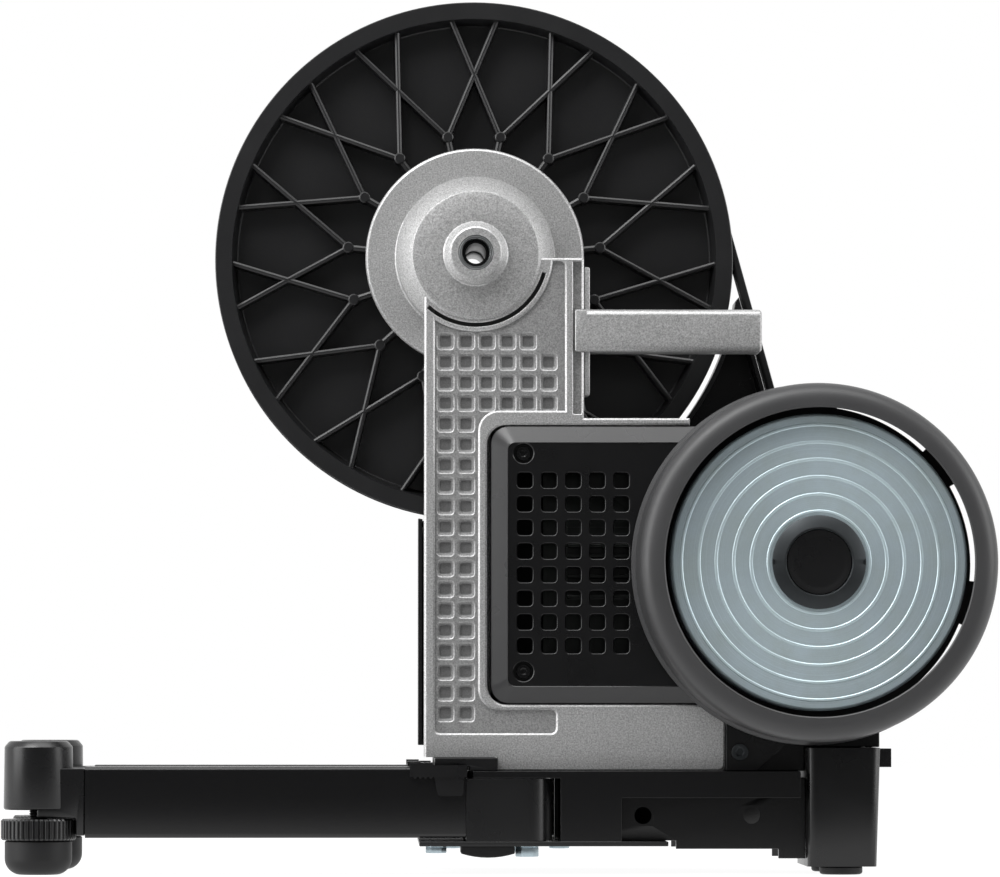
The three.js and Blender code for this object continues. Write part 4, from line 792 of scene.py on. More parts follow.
class BuildCasting(Operator):
    """Cast frame: head, column with its field of pockets, bay, lower arm and bearing housing"""
    bl_idname = "trainer.casting"
    bl_label = "Frame casting"

    def head(self, segments):
        return turned("head", [
            (10.3, -71), (14.4, -71), (15.3, -70.5), (17.8, -67.5), (18.4, -66.6), (18.4, -60.8),
            (19.2, -60.1), (36.2, -60), (37, -59.7), (37.6, -59.1), (46, -48.6), (46.6, -47.4),
            (46.6, -31.8), (47.4, -31), (63.2, -31), (64.2, -30.5), (64.7, -29.5), (64.7, -22.6),
            (64.1, -22), (10.3, -22),
        ], segments=segments)

    def field(self, grow):
        """Outline of the recess in the front of the column that holds the pockets."""
        radius = 45.5 - grow
        start = -math.degrees(math.acos((-23.8 - grow) / radius))
        end = -math.degrees(math.asin((4 - grow) / radius))
        corner, fillet = 3 + grow, 12 - grow
        return (
            arc(0, 0, radius, start, end, 40)
            + arc(49.5, -7, corner, 90, 0, 4) + [(52.5 + grow, -92 - grow)]
            + arc(13.5, -104, fillet, 90, 180) + arc(13.5, -255.4, fillet, 180, 270)
            + arc(44.1, -270.4, corner, 90, 0, 4) + arc(44.1, -278, corner, 0, -90, 4)
            + arc(-20.8, -278, corner, -90, -180, 4)
        )

    def back_cells(self):
        """Hollows in the back of the column and the arm."""
        low, high = -290, -69.7
        step = (high - low) / 3
        cells = [(-25, 1.7, low + i * step + 2.5, low + (i + 1) * step - 2.5) for i in range(3)]
        cells += [(18.1, 77.1, -298.1, -269.5), (82.1, 141.1, -298.1, -269.5)]
        return [prism("cell", round_rect(*cell, 3), -50, COLUMN_BACK + 4) for cell in cells]

    def pockets(self, s):
        """Three grids of square pockets, each with a rolled edge."""
        mouth, bottom = s.pocket / 2, s.pocket_floor / 2
        depth, pitch = s.pocket_depth, s.pocket_pitch
        layers = [(half, corner, COLUMN_FRONT + 2.2 + y) for half, corner, y in (
            (mouth + 1.1, 2.4, -1.0), (mouth + 0.55, 2.3, 0.0), (mouth + 0.05, 2.0, 0.4),
            (mouth - 0.45, 1.8, 0.55), (bottom + 0.3, 1.3, depth - 0.5), (bottom, 1.0, depth),
        )]
        return [
            square_grid(
                "pocket", -17.6, -51.2 - row * pitch, layers, 3, "cast_silver", rows, columns,
                pitch, pitch,
            )
            for row, rows, columns in ((0, 1, 5), (1, 3, 6), (4, 15, 2))
        ]

    def execute(self, context):
        s = context.scene.trainer_casting
        front, edge = COLUMN_FRONT, s.bevel
        bottom, arm_top, rim_top, rim_bottom = -303.1, -264.5, -96.4, -100.4
        arm_right, rim_right = 146.1, 125.8
        plate = [
            (1.7, rim_top), (rim_right, rim_top), (rim_right, rim_bottom), (209.4, -156.5),
            (209.4, -208.5), (arm_right, arm_top), (arm_right, bottom), (1.7, bottom),
        ]

        def column(grow):
            return round_rect(-30 - grow, 63.6 + grow, bottom - grow, -2.2 + grow, 1.5 + grow)

        def arm(grow):
            return round_rect(13.1, arm_right + grow, bottom - grow, arm_top, 3)

        def rim(grow):
            right, top = rim_right + grow, rim_top + grow
            return [(6.7, rim_bottom), (right, rim_bottom), (right, top), (6.7, top)]

        def bay(grow):
            return round_rect(6.7 - grow, 200, arm_top - grow, rim_bottom + grow, 11.5 + grow, 8)

        def strip(grow):
            return round_rect(57.2 - grow, 62.3 + grow, -94 - grow, -4.2 + grow, 0.8 + grow)

        def groove(grow):
            return arc_band(40.4 - grow, 42.8 + grow, -132 - grow, -15 + grow, 48)

        body = join(
            raised("frame_casting_look", column, front, COLUMN_BACK, edge),
            raised("arm", arm, front, COLUMN_BACK, edge),
            prism("plate", plate, BAY_FLOOR, COLUMN_BACK),
            raised("rim", rim, front, COLUMN_BACK, edge),
        )
        body = cut(
            body,
            sunk("bay", bay, front, BAY_FLOOR, edge),
            block("notch", -34, 13.1, front - 4, COLUMN_BACK + 4, -310, -295),
            *self.back_cells(),
        )
        housing = turned("housing", [
            (14.3, -70.7), (41.4, -70.7), (42, -70.1), (42, -66.6), (41.4, -66), (28, -66),
            (26, -64), (26, -14.6), (25.4, -14), (14.3, -14),
        ], *SHAFT, 96)
        body = cut(
            body, rod("bore", 14.3, -74, -10, *SHAFT, 64), rod("bore", 10.3, -80, 0, segments=64),
        )
        body = join(body, self.head(s.segments), housing)
        for z in SCREW_Z:
            body = cut(
                join(body, rod("post", 6, -52.6, BAY_FLOOR + 2, SCREW_X, z)),
                rod("hole", 2.3, -56, BAY_FLOOR, SCREW_X, z),
            )
        for x in (47, 111):
            for z in (-119, -243):
                body = join(body, rod("post", 4, -42.1, BAY_FLOOR + 2, x, z, 24))
        body = cut(
            body,
            rod("bore", 10.3, -80, 0, segments=64),
            sunk("groove", groove, front, front + 4.5, 0.5),
            sunk("field", self.field, front, front + 2.2, edge),
            sunk("strip", strip, front, front + 5, 0.5),
            block("seat", 58, 68, front - 4, front + 5, -57.8, -32.1),
        )
        body = cut(body, *self.pockets(s))
        finish(body, "frame", "cast_silver", "cast_silver", "frame_casting")
        return {"FINISHED"}


class BuildHandle(Operator):
    """Carrying handle with a flange against the column"""
    bl_idname = "trainer.handle"
    bl_label = "Carrying handle"

    def execute(self, context):
        section = round_rect(-60, -30, -57.5, -32.4, 4.2, 6)
        end = round_rect(-58.6, -31.4, -56.1, -33.8, 3, 6)
        bar = loft("carry_handle_look", [(section, 63.9), (section, 166.9), (end, 168.1)], along_x)
        tongue = rounded(block("tongue", 58.3, 65.6, -60, -53.3, -57.3, -32.6), 1.1, 3)
        flange = rounded(block("flange", 63.9, 67.2, -56, -30, -82.8, -7.5), 1.0, 3)
        bar = join(bar, tongue, flange)
        finish(bar, "frame", "cast_silver", "cast_silver", "carry_handle")
        return {"FINISHED"}


class BuildBrakeCover(Operator):
    """Vented cover over the brake electronics, with its two sunk screws"""
    bl_idname = "trainer.brake_cover"
    bl_label = "Brake cover"

    def vents(self, s):
        """Square vents with a raised lip round each."""
        layers = [(s.vent / 2 + grow, s.vent_corner + grow, -61.5 + depth) for grow, depth in (
            (1.9, -1.0), (0.95, -0.05), (0.35, 0.35), (-0.05, 1.0), (-0.1, 2), (-0.1, 8),
        )]
        return square_grid("vent", 28.8, -133, layers, 4, "black_plastic", 8, 5, 14.14, 13.83)

    def execute(self, context):
        s = context.scene.trainer_covers

        def outer(inset, corner, steps=8):
            return round_rect(9 + inset, 150 - inset, -263.6 + inset, -101 - inset, corner, steps)

        shell = loft("brake_cover_look", [
            (outer(0, 10.5), -28.3), (outer(0, 10.5), -56.4), (outer(0.35, 10.2), -56.9),
            (outer(9.3, 5.4), -61.7), (outer(9.7, 5.0), -61.9), (outer(10.0, 4.7), -61.7),
            (outer(10.2, 4.5), -61.3),
        ])
        hollow = loft("hollow", [
            (outer(2.6, 7.9), -20), (outer(2.6, 7.9), -53.4), (outer(12.4, 3), -58.1),
        ])
        body = cut(shell, hollow)
        for z in SCREW_Z:
            body = join(body, rod("well", 8.3, -59, -52.9, SCREW_X, z, 48))
            body = cut(
                body,
                turned("mouth", [
                    (0.01, -66), (6.6, -66), (6.6, -61.5), (5.9, -60.9), (5.9, -55.5), (0.01, -55.5),
                ], SCREW_X, z, 48),
                rod("hole", 2.3, -57, -50, SCREW_X, z, 24),
            )
        body = cut(body, self.vents(s))
        finish(body, "frame", "black_plastic", "cover_plastic", "brake_cover")
        for name, z in zip(("cover_screw_upper", "cover_screw_lower"), SCREW_Z):
            screw = socket_screw(SCREW_X, z, (4.3, 2), -58.5, -55.5, -38.5, 1.5, 0.3)
            finish(screw, "frame", "painted_steel", "painted_steel", name)
        return {"FINISHED"}


class BuildGuard(Operator):
    """Satin ring round the flywheel with a slotted web behind it"""
    bl_idname = "trainer.guard"
    bl_label = "Flywheel guard"

    FULLER = 0.72

    def execute(self, context):
        s = context.scene.trainer_flywheel
        outer, inner = [], []
        for degrees in range(0, 91, 5):
            cos, sin = polar(1, math.radians(degrees))
            drop = 1 - max(cos, 0) ** self.FULLER
            outer.append((89.6 + 13.8 * sin ** self.FULLER, -138.5 + 15 * drop))
            inner.insert(0, (89.6 + 11.3 * sin, -136 + 15 * (1 - cos)))
        body = turned("flywheel_guard_look", outer + [
            (103.4, -71.2), (105.3, -70.5), (105.6, -70), (105.6, -66.4), (105.2, -66),
            (100.9, -66), (100.9, -71), (17, -71), (17, -75), (100.9, -75),
        ] + inner + [(88.9, -136.6), (88.9, -138)], *SHAFT, s.segments)
        slots = []
        for i in range(7):
            start = -6 + i * 360 / 7
            slots.append(prism("slot", arc_band(92.3, 98, start, start + 35.5, 24, *SHAFT), -78, -68))
        finish(cut(body, *slots), "frame", "satin_plastic", "guard_plastic", "flywheel_guard")
        return {"FINISHED"}


class BuildFlywheel(Operator):
    """Turned flywheel with its ridges, the cap ring and the disc in it"""
    bl_idname = "trainer.flywheel"
    bl_label = "Flywheel"

    def execute(self, context):
        s = context.scene.trainer_flywheel
        front = -128
        half = s.ridge_width / 2
        face = [(6.3, front)]
        for radius in RIDGES:
            face += [
                (radius - half, front), (radius - half * 0.55, front - s.ridge_height),
                (radius + half * 0.55, front - s.ridge_height), (radius + half, front),
            ]
        wheel = turned("flywheel_look", face + [
            (83.9, front), (84.7, front + 0.4), (85.5, front + 1.6), (85.5, -89.6), (83.9, -88),
            (76, -88), (76, -113.4), (75.4, -114), (24.6, -114), (24, -113.4), (24, -88), (6.3, -88),
        ], *SHAFT, s.segments)
        finish(wheel, "flywheel", "zinc_steel", "zinc_turned", "flywheel")
        ring = turned("flywheel_cap_look", [
            (19, -131.3), (19.5, -131.9), (20, -132), (26.3, -129.9), (26.8, -129.6), (27, -129.2),
            (27, -128.3), (19, -128.3),
        ], *SHAFT, 96)
        notches = [
            rod("notch", 1.8, -134, -129.6, SHAFT[0] + side * 27, SHAFT[1], 24)
            for side in (NEAR, FAR)
        ]
        finish(cut(ring, *notches), "flywheel", "gunmetal", "gunmetal", "flywheel_cap")
        disc = turned("flywheel_cap_disc_look", [
            (0.01, -130.1), (13.4, -130.2), (15.6, -130.5), (17.6, -131.2), (18.3, -131.2), (18.7, -130.8),
            (18.7, -128.3), (0.01, -128.3),
        ], *SHAFT, 96)
        finish(disc, "flywheel", "satin_plastic", "black_plastic", "flywheel_cap_disc")
        return {"FINISHED"}


class BuildPulley(Operator):
    """Drive pulley: flanged rim, web and crossing ribs from fifteen small bosses"""
    bl_idname = "trainer.pulley"
    bl_label = "Drive pulley"

    GROUP_RADIUS, FIRST = 75.4, 78

    def rib(self, start, end, width):
        """Rib with sloping sides between two places given as (radius, degrees)."""
        a, b = (Vector(polar(radius, math.radians(degrees))) for radius, degrees in (start, end))
        across = (b - a).normalized().orthogonal()
        layers = []
        for half, y in ((width * 0.85, 7), (width * 0.5, -4.85), (width * 0.14, -5.5)):
            side = across * half
            layers.append(([tuple(p) for p in (a + side, a - side, b - side, b + side)], y))
        return loft("rib", layers)

    def execute(self, context):
        s = context.scene.trainer_drive
        first = self.FIRST
        middle = (self.GROUP_RADIUS, first)
        group = join(
            turned("rib_group", [
                (0.01, -6.2), (2.6, -6.2), (3.3, -5.6), (3.9, 7), (0.01, 7),
            ], *polar(self.GROUP_RADIUS, math.radians(first)), 20),
            self.rib(middle, (144.5, first + 17.4), s.rib_width),
            self.rib(middle, (144.5, first - 17.4), s.rib_width),
            self.rib((42, first), middle, s.rib_width * 1.2),
        )
        tree = array_tree("rib_ring", {"Centre": ("NodeSocketVector", (0, 0, 0))}, ring_places)
        ribs = array_of(
            group, tree, Material=MATERIALS["pulley_plastic"], Count=s.ribs, Centre=tuple(HUB),
        )
        disc = turned("drive_pulley_look", [
            (143.9, -8.4), (144.3, -9), (153.6, -9), (154.1, -8.6), (154.1, -7.2), (152.6, -6.8),
            (147.3, -6.8), (147.3, 10.8), (152.6, 10.8), (154.1, 11.2), (154.1, 12.6), (153.7, 13),
            (144.2, 13), (143.7, 12.6), (142.9, 10), (141.5, 9.5), (118, 9.5), (116, 10.3), (84, 10.3),
            (82, 9.5), (45.5, 9.5), (44.6, 10.2), (30, 10.2), (30, -5.5), (44.4, -5.5), (45, -4.9),
            (45.8, 5.4), (46.6, 6), (140.6, 6), (141.4, 5.4),
        ], segments=s.segments)
        disc = combine(disc, [ribs], "UNION", crossing=True)
        finish(disc, "pulley", "satin_plastic", "pulley_plastic", "drive_pulley")
        return {"FINISHED"}


def belt_path(big, small, big_steps=150, small_steps=20):
    """Loop round both pulleys, as (x, z) points."""
    x, z = SHAFT
    line = math.degrees(math.atan2(z, x))
    lean = math.degrees(math.acos((big - small) / math.hypot(x, z)))
    return (
        arc(0, 0, big, line + lean, line + 360 - lean, big_steps)
        + arc(x, z, small, line - lean, line + lean, small_steps)
    )


class BuildBelt(Operator):
    """Ribbed belt, and the shaft with the small pulley that it runs on"""
    bl_idname = "trainer.belt"
    bl_label = "Belt and shaft"

    def execute(self, context):
        s = context.scene.trainer_drive
        inner = BELT_OUTER - BELT_THICK
        root = 1.6
        section = [
            (BELT_THICK - 0.5, BELT_NEAR), (BELT_THICK, BELT_NEAR + 0.5),
            (BELT_THICK, BELT_FAR - 0.5), (BELT_THICK - 0.5, BELT_FAR), (root, BELT_FAR),
        ]
        pitch = (BELT_FAR - BELT_NEAR) / s.grooves
        for i in range(s.grooves):
            y = BELT_FAR - i * pitch
            section += [(0.0, y - pitch * 0.3), (0.0, y - pitch * 0.7), (root, y - pitch)]
        loops = []
        for offset, y in section:
            loops.append([mm(x, y, z) for x, z in belt_path(inner + offset, BELT_SMALL + offset)])
        belt = skin("drive_belt_look", zip(*loops), wrap=True)
        finish(belt, "frame", "rubber", "rubber", "drive_belt")

        start = -6.8
        profile = [
            (0.01, -127.4), (5.6, -127.4), (6, -127), (6, -9.2), (8.8, -9.2), (9.2, -8.8), (9.2, start),
        ]
        step = 17.6 / s.grooves
        for i in range(s.grooves):
            profile += [(6.5, start + i * step + 0.15), (5.8, start + (i + 0.5) * step)]
        profile += [(6.5, 10.7), (9.2, 10.8), (9.2, 12.6), (8.8, 13), (0.01, 13)]
        shaft = turned("flywheel_shaft_look", profile, *SHAFT, 64)
        finish(shaft, "flywheel", "bright_steel", "bright_steel", "flywheel_shaft")
        return {"FINISHED"}


class BuildBeltCover(Operator):
    """Tray behind the column that guards the belt"""
    bl_idname = "trainer.belt_cover"
    bl_label = "Belt cover"

    def shape(self, inset):
        """Outline of the tray, drawn in by an even inset."""
        x, z = SHAFT
        inner = BELT_OUTER - BELT_THICK
        line = math.atan2(z, x)
        normal = line + math.acos((inner - BELT_SMALL) / math.hypot(x, z))
        reach = inner - 1.8 - inset
        radius = 157.4 + inset
        left = -33.3 + inset
        start = -math.acos(left / radius)
        end = min(math.radians(-9.1), normal - math.acos(reach / radius))
        edge = reach / math.cos(normal - end)
        turn = -104 - inset
        points = [(left, -288.2 + inset)]
        points += arc(0, 0, radius, math.degrees(start), math.degrees(end), 72)
        if edge > radius + 0.05:
            points += [polar((edge + radius) / 2, end + math.radians(1.1)), polar(edge, end)]
        points.append(((reach - turn * math.sin(normal)) / math.cos(normal), turn))
        points += arc(x, z, 27 - inset, 60, -60, 20)
        points += [(138 - inset, -270 + inset), (128 - inset, -288.2 + inset)]
        return points

    def execute(self, context):
        s = context.scene.trainer_covers
        near, plate, far = -13.4, 16, 18.8
        body = cut(
            prism("belt_cover_look", self.shape(0), near, far),
            prism("hollow", self.shape(2.6), near - 4, plate),
        )
        body = cut(
            body,
            prism("strands", arc_band(BELT_OUTER, 162, -101.2, -58, 24), near - 4, plate),
            block("strands", 169.4, 225.4, near - 4, plate, -173.5, -102),
        )
        rounded(body, s.bevel)
        places = ((2, -262), (112, -262), (128, -126))
        body = join(body, *[rod("post", 5, -19.7, plate + 1.4, x, z) for x, z in places])
        finish(body, "frame", "black_plastic", "black_plastic", "belt_cover")
        return {"FINISHED"}


class BuildHub(Operator):
    """Axle, its two end caps, the hub shell and the bearings"""
    bl_idname = "trainer.hub"
    bl_label = "Hub"

    CAP_ROOT = 46.3
    BEARINGS = {
        "hub_bearing_near": (-15, 10, (10.3, 13, 13.3, 18, 18.3, 21), 0.6, (0, 0)),
        "hub_bearing_far": (8, 10, (10.3, 13, 13.3, 18, 18.3, 21), 0.6, (0, 0)),
        "shaft_bearing_near": (-66, 8, (6.3, 8, 8.2, 12, 12.2, 14), 0.5, SHAFT),
        "shaft_bearing_far": (-22, 8, (6.3, 8, 8.2, 12, 12.2, 14), 0.5, SHAFT),
    }

    def cap(self, side):
        tip, root = side * AXLE_HALF, side * self.CAP_ROOT
        return turned("axle_cap", [
            (6, root), (10, root), (10, tip - side * 0.5), (9.5, tip), (8.5, tip),
            (7.8, tip - side * 0.8), (7.8, tip - side * 7.6), (7.4, tip - side * 8), (6, tip - side * 8),
        ])

    def bearing(self, node, start, width, radii, dip, axis):
        """Bearing with its shields sunk a little between the two rings."""
        dips = (0, 0, dip, dip, 0, 0)
        near = [(radius, start + depth) for radius, depth in zip(radii, dips)]
        far = [(radius, start + width - depth) for radius, depth in zip(radii, dips)]
        bearing = turned(node + "_look", near + far[::-1], *axis, 64)
        finish(bearing, "frame", "bright_steel", "bright_steel", node)

    def execute(self, context):
        for name, side in SIDES.items():
            finish(self.cap(side), "frame", "gunmetal", "bright_steel", "axle_cap_" + name)
        axle = turned("hub_axle_look", [
            (6, -46), (10, -46), (10, -16), (10, 16), (10, 46), (6, 46), (6, 12), (6.6, 10),
            (6.6, -10), (6, -12),
        ])
        finish(axle, "frame", "bright_steel", "bright_steel", "hub_axle")
        shell = turned("pulley_hub_look", [
            (21.3, -16), (29.2, -16), (29.7, -15.5), (29.7, 9.8), (39.6, 9.8), (40, 10.2),
            (40, 13.3), (39.5, 13.8), (26, 13.8), (23, 16), (23, 22), (22.5, 22.5), (21.3, 22.5),
        ])
        finish(shell, "pulley", "bright_steel", "bright_steel", "pulley_hub")
        for node, shape in self.BEARINGS.items():
            self.bearing(node, *shape)
        return {"FINISHED"}


class BuildSprockets(Operator):
    """Freehub body, the sprockets in three clusters and the lockring"""
    bl_idname = "trainer.sprockets"
    bl_label = "Sprockets"

    TEETH = (28, 25, 23, 21, 19, 17, 15, 14, 13, 12, 11)
    CLUSTERS = (("cassette_large", 0, 3), ("cassette_middle", 3, 3), ("cassette_small", 6, 5))
    CHAIN_PITCH = 12.7
    START, STEP, THICK = 28.2, 3.7, 1.8
    TOOTH = (
        (-0.5, -3.9), (-0.33, -3.2), (-0.2, 0.4), (-0.07, 2.7), (0.07, 2.7), (0.2, 0.4), (0.33, -3.2),
    )

    def pitch_radius(self, teeth):
        return self.CHAIN_PITCH / (2 * math.sin(math.pi / teeth))

    def sprocket(self, teeth, y, turn):
        """One sprocket: rounded teeth, and a thinner edge than middle."""
        pitch = self.pitch_radius(teeth)
        layers = []
        for depth, shrink in ((0, 0.35), (0.35, 0), (1.45, 0), (self.THICK, 0.35)):
            points = []
            for i in range(teeth):
                for place, height in self.TOOTH:
                    radius = pitch + height - (shrink if height > 0 else 0)
                    points.append(polar(radius, math.tau * ((i + place) / teeth + turn)))
            layers.append((points, y + depth))
        return loft("sprocket", layers)

    def openings(self, teeth, y):
        """Slots that lighten a large sprocket."""
        inner, outer = 26, self.pitch_radius(teeth) - 8.5
        if outer - inner < 4:
            return []
        return [
            prism("slot", arc_band(inner, outer, start, start + 26, 6), y - 1, y + 2.8)
            for start in range(teeth, teeth + 360, 40)
        ]

    def cluster(self, name, first, count):
        last = first + count - 1
        start, end = (self.START + i * self.STEP for i in (first, last))
        body = None
        for i in range(first, last + 1):
            y = self.START + i * self.STEP
            one = self.sprocket(self.TEETH[i], y, i * 0.143)
            slots = self.openings(self.TEETH[i], y)
            if slots:
                one = cut(one, *slots)
            body = one if body is None else join(body, one)
        end += self.THICK if last == len(self.TEETH) - 1 else 3.4
        radius = min(20.5, self.pitch_radius(self.TEETH[last]) - 3.9)
        collar = rod("collar", radius, start, end, segments=72)
        bore = rod("bore", 17.3, start - 2, end + 2, segments=72)
        body = cut(join(body, collar), bore)
        body.name = body.data.name = name + "_look"
        finish(body, "freehub", "bright_steel", "bright_steel", name)

    def ring_of_rods(self, name, count, radius, start, end, circle_radius, segments):
        """Cutters for the splines or notches round a part."""
        return [
            rod(name, radius, start, end, *polar(circle_radius, i * math.tau / count), segments)
            for i in range(count)
        ]

    def execute(self, context):
        for cluster in self.CLUSTERS:
            self.cluster(*cluster)
        body = turned("freehub_body_look", [
            (12, 22.8), (20.5, 22.8), (21, 23.3), (21, 26.3), (20.5, 26.8), (17, 26.8),
            (17, 65.8), (16.6, 66.2), (12.4, 66.2), (12, 65.8),
        ])
        body = cut(body, *self.ring_of_rods("spline", 9, 1.8, 26.8, 70, 17, 16))
        finish(body, "freehub", "gunmetal", "gunmetal", "freehub_body")
        start = self.START + 10 * self.STEP + 2.1
        ring = turned("lockring_look", [
            (11, start), (14.2, start), (14.6, start + 0.4), (14.6, start + 2), (14, start + 2.6),
            (11.6, start + 2.6), (11, start + 2),
        ])
        ring = cut(ring, *self.ring_of_rods("notch", 12, 0.9, start + 1, start + 4, 11, 12))
        finish(ring, "freehub", "gunmetal", "gunmetal", "lockring")
        return {"FINISHED"}


class BuildBrake(Operator):
    """Inner parts of the brake: slotted ring, winding and control board"""
    bl_idname = "trainer.brake"
    bl_label = "Brake parts"

    def execute(self, context):
        # The slotted ring is dressed in black paint, which also serves as painted shade inside the vents.
        dress("brake_stator", "painted_steel")
        dress("brake_coil", "copper")
        rounded_node("control_board", 0.3, "board_green", "board")
        return {"FINISHED"}


class BuildBase(Operator):
    """Painted base with its post, feet, brackets, catches and bolts"""
    bl_idname = "trainer.base"
    bl_label = "Base"

    PAINTED = ("base_bottom_plate", "flywheel_support")
    MOULDED = ("guard_bracket", "power_inlet", "leg_catch_near", "leg_catch_far")
    FEET = {"rear_foot_near": -64, "rear_foot_far": 2}
    BEAM_HOLES = ((97.9, -329.1), (161.7, -329.1))
    STOP_TOP, BOLT_TOP = -343.7, -303.4
    SMALL, LARGE = (3, 6.2, 4.2), (4, 6.9, 6.3)
    BOLTS = {
        "stop_bolt_near": (-23.1, -LEG_Y, SMALL, STOP_TOP),
        "stop_bolt_far": (-13.1, LEG_Y, SMALL, STOP_TOP),
        "base_bolt_far": (52.5, 58, SMALL, BOLT_TOP),
        "pivot_bolt_near": (30, -LEG_Y, LARGE, BOLT_TOP),
        "pivot_bolt_far": (30, LEG_Y, LARGE, BOLT_TOP),
    }

    def bolt(self, node, x, y, size, top):
        """Hexagon bolt seen from below, with a chamfered head and a washer face."""
        radius, head, height = size
        seat = PLATE_BOTTOM
        outline = circle(head, x, y, 6)
        hexagon = rounded(prism("hexagon", outline, seat - height, seat - 0.6, along_z), 0.5, 2)
        washer = rod("washer", head * 0.98, seat - 0.7, seat, x, y, 40, along_z)
        shank = rod("shank", radius, seat - 1, top, x, y, 24, along_z)
        piece = join(hexagon, washer, shank)
        piece.name = piece.data.name = node + "_look"
        finish(piece, "frame", "zinc_steel", "zinc_plated", node)

    def foot(self, node, y):
        """Rubber foot with a peg into the post."""
        top, peg = -358.9, -354.6
        foot = turned(node + "_look", [
            (0.01, FLOOR_Z), (10.8, FLOOR_Z), (11.9, FLOOR_Z + 0.4), (12.4, FLOOR_Z + 1),
            (12.6, FLOOR_Z + 1.8), (12.6, top - 0.4), (12.2, top), (3, top), (3, peg), (0.01, peg),
        ], 213.4, y, 64, along_z)
        finish(foot, "frame", "rubber", "rubber", node)

    def channel(self, s):
        """Base channel, with a lip on its far side that closes the view past the hinge."""
        channel = rounded(copy_of("base_channel"), s.bevel)
        channel = join(channel, block("lip", 47.6, 51, 74.4, 76.6, -343.6, -303.5))
        finish(channel, "frame", "painted_steel", "painted_steel", "base_channel")

    def beam(self, s):
        """Rear beam, rounded with its two holes filled, which are then cut again."""
        plugs = [block("plug", x - 6, x + 6, -60, -56, z - 6, z + 6) for x, z in self.BEAM_HOLES]
        beam = rounded(join(copy_of("rear_beam"), *plugs), s.bevel)
        beam = cut(beam, *[rod("hole", 5, -64, -54, x, z) for x, z in self.BEAM_HOLES])
        finish(beam, "frame", "painted_steel", "painted_steel", "rear_beam")

    def execute(self, context):
        s = context.scene.trainer_base
        self.channel(s)
        self.beam(s)
        for node in self.PAINTED:
            rounded_node(node, s.bevel, "painted_steel", "painted_steel")
        for node in self.MOULDED:
            rounded_node(node, s.bevel, "black_plastic", "black_plastic")
        rounded_node("rear_post", s.bevel, "black_plastic", "black_plastic", 3)
        rounded_node("base_skid", s.bevel, "rubber", "rubber")
        for node, y in self.FEET.items():
            self.foot(node, y)
        for node, place in self.BOLTS.items():
            self.bolt(node, *place)
        screw = socket_screw(154.6, -292.1, (4.9, 2.5), -62.6, -60, -54.3, 1.3, 0.4)
        finish(screw, "frame", "bright_steel", "gunmetal", "bracket_screw")
        return {"FINISHED"}


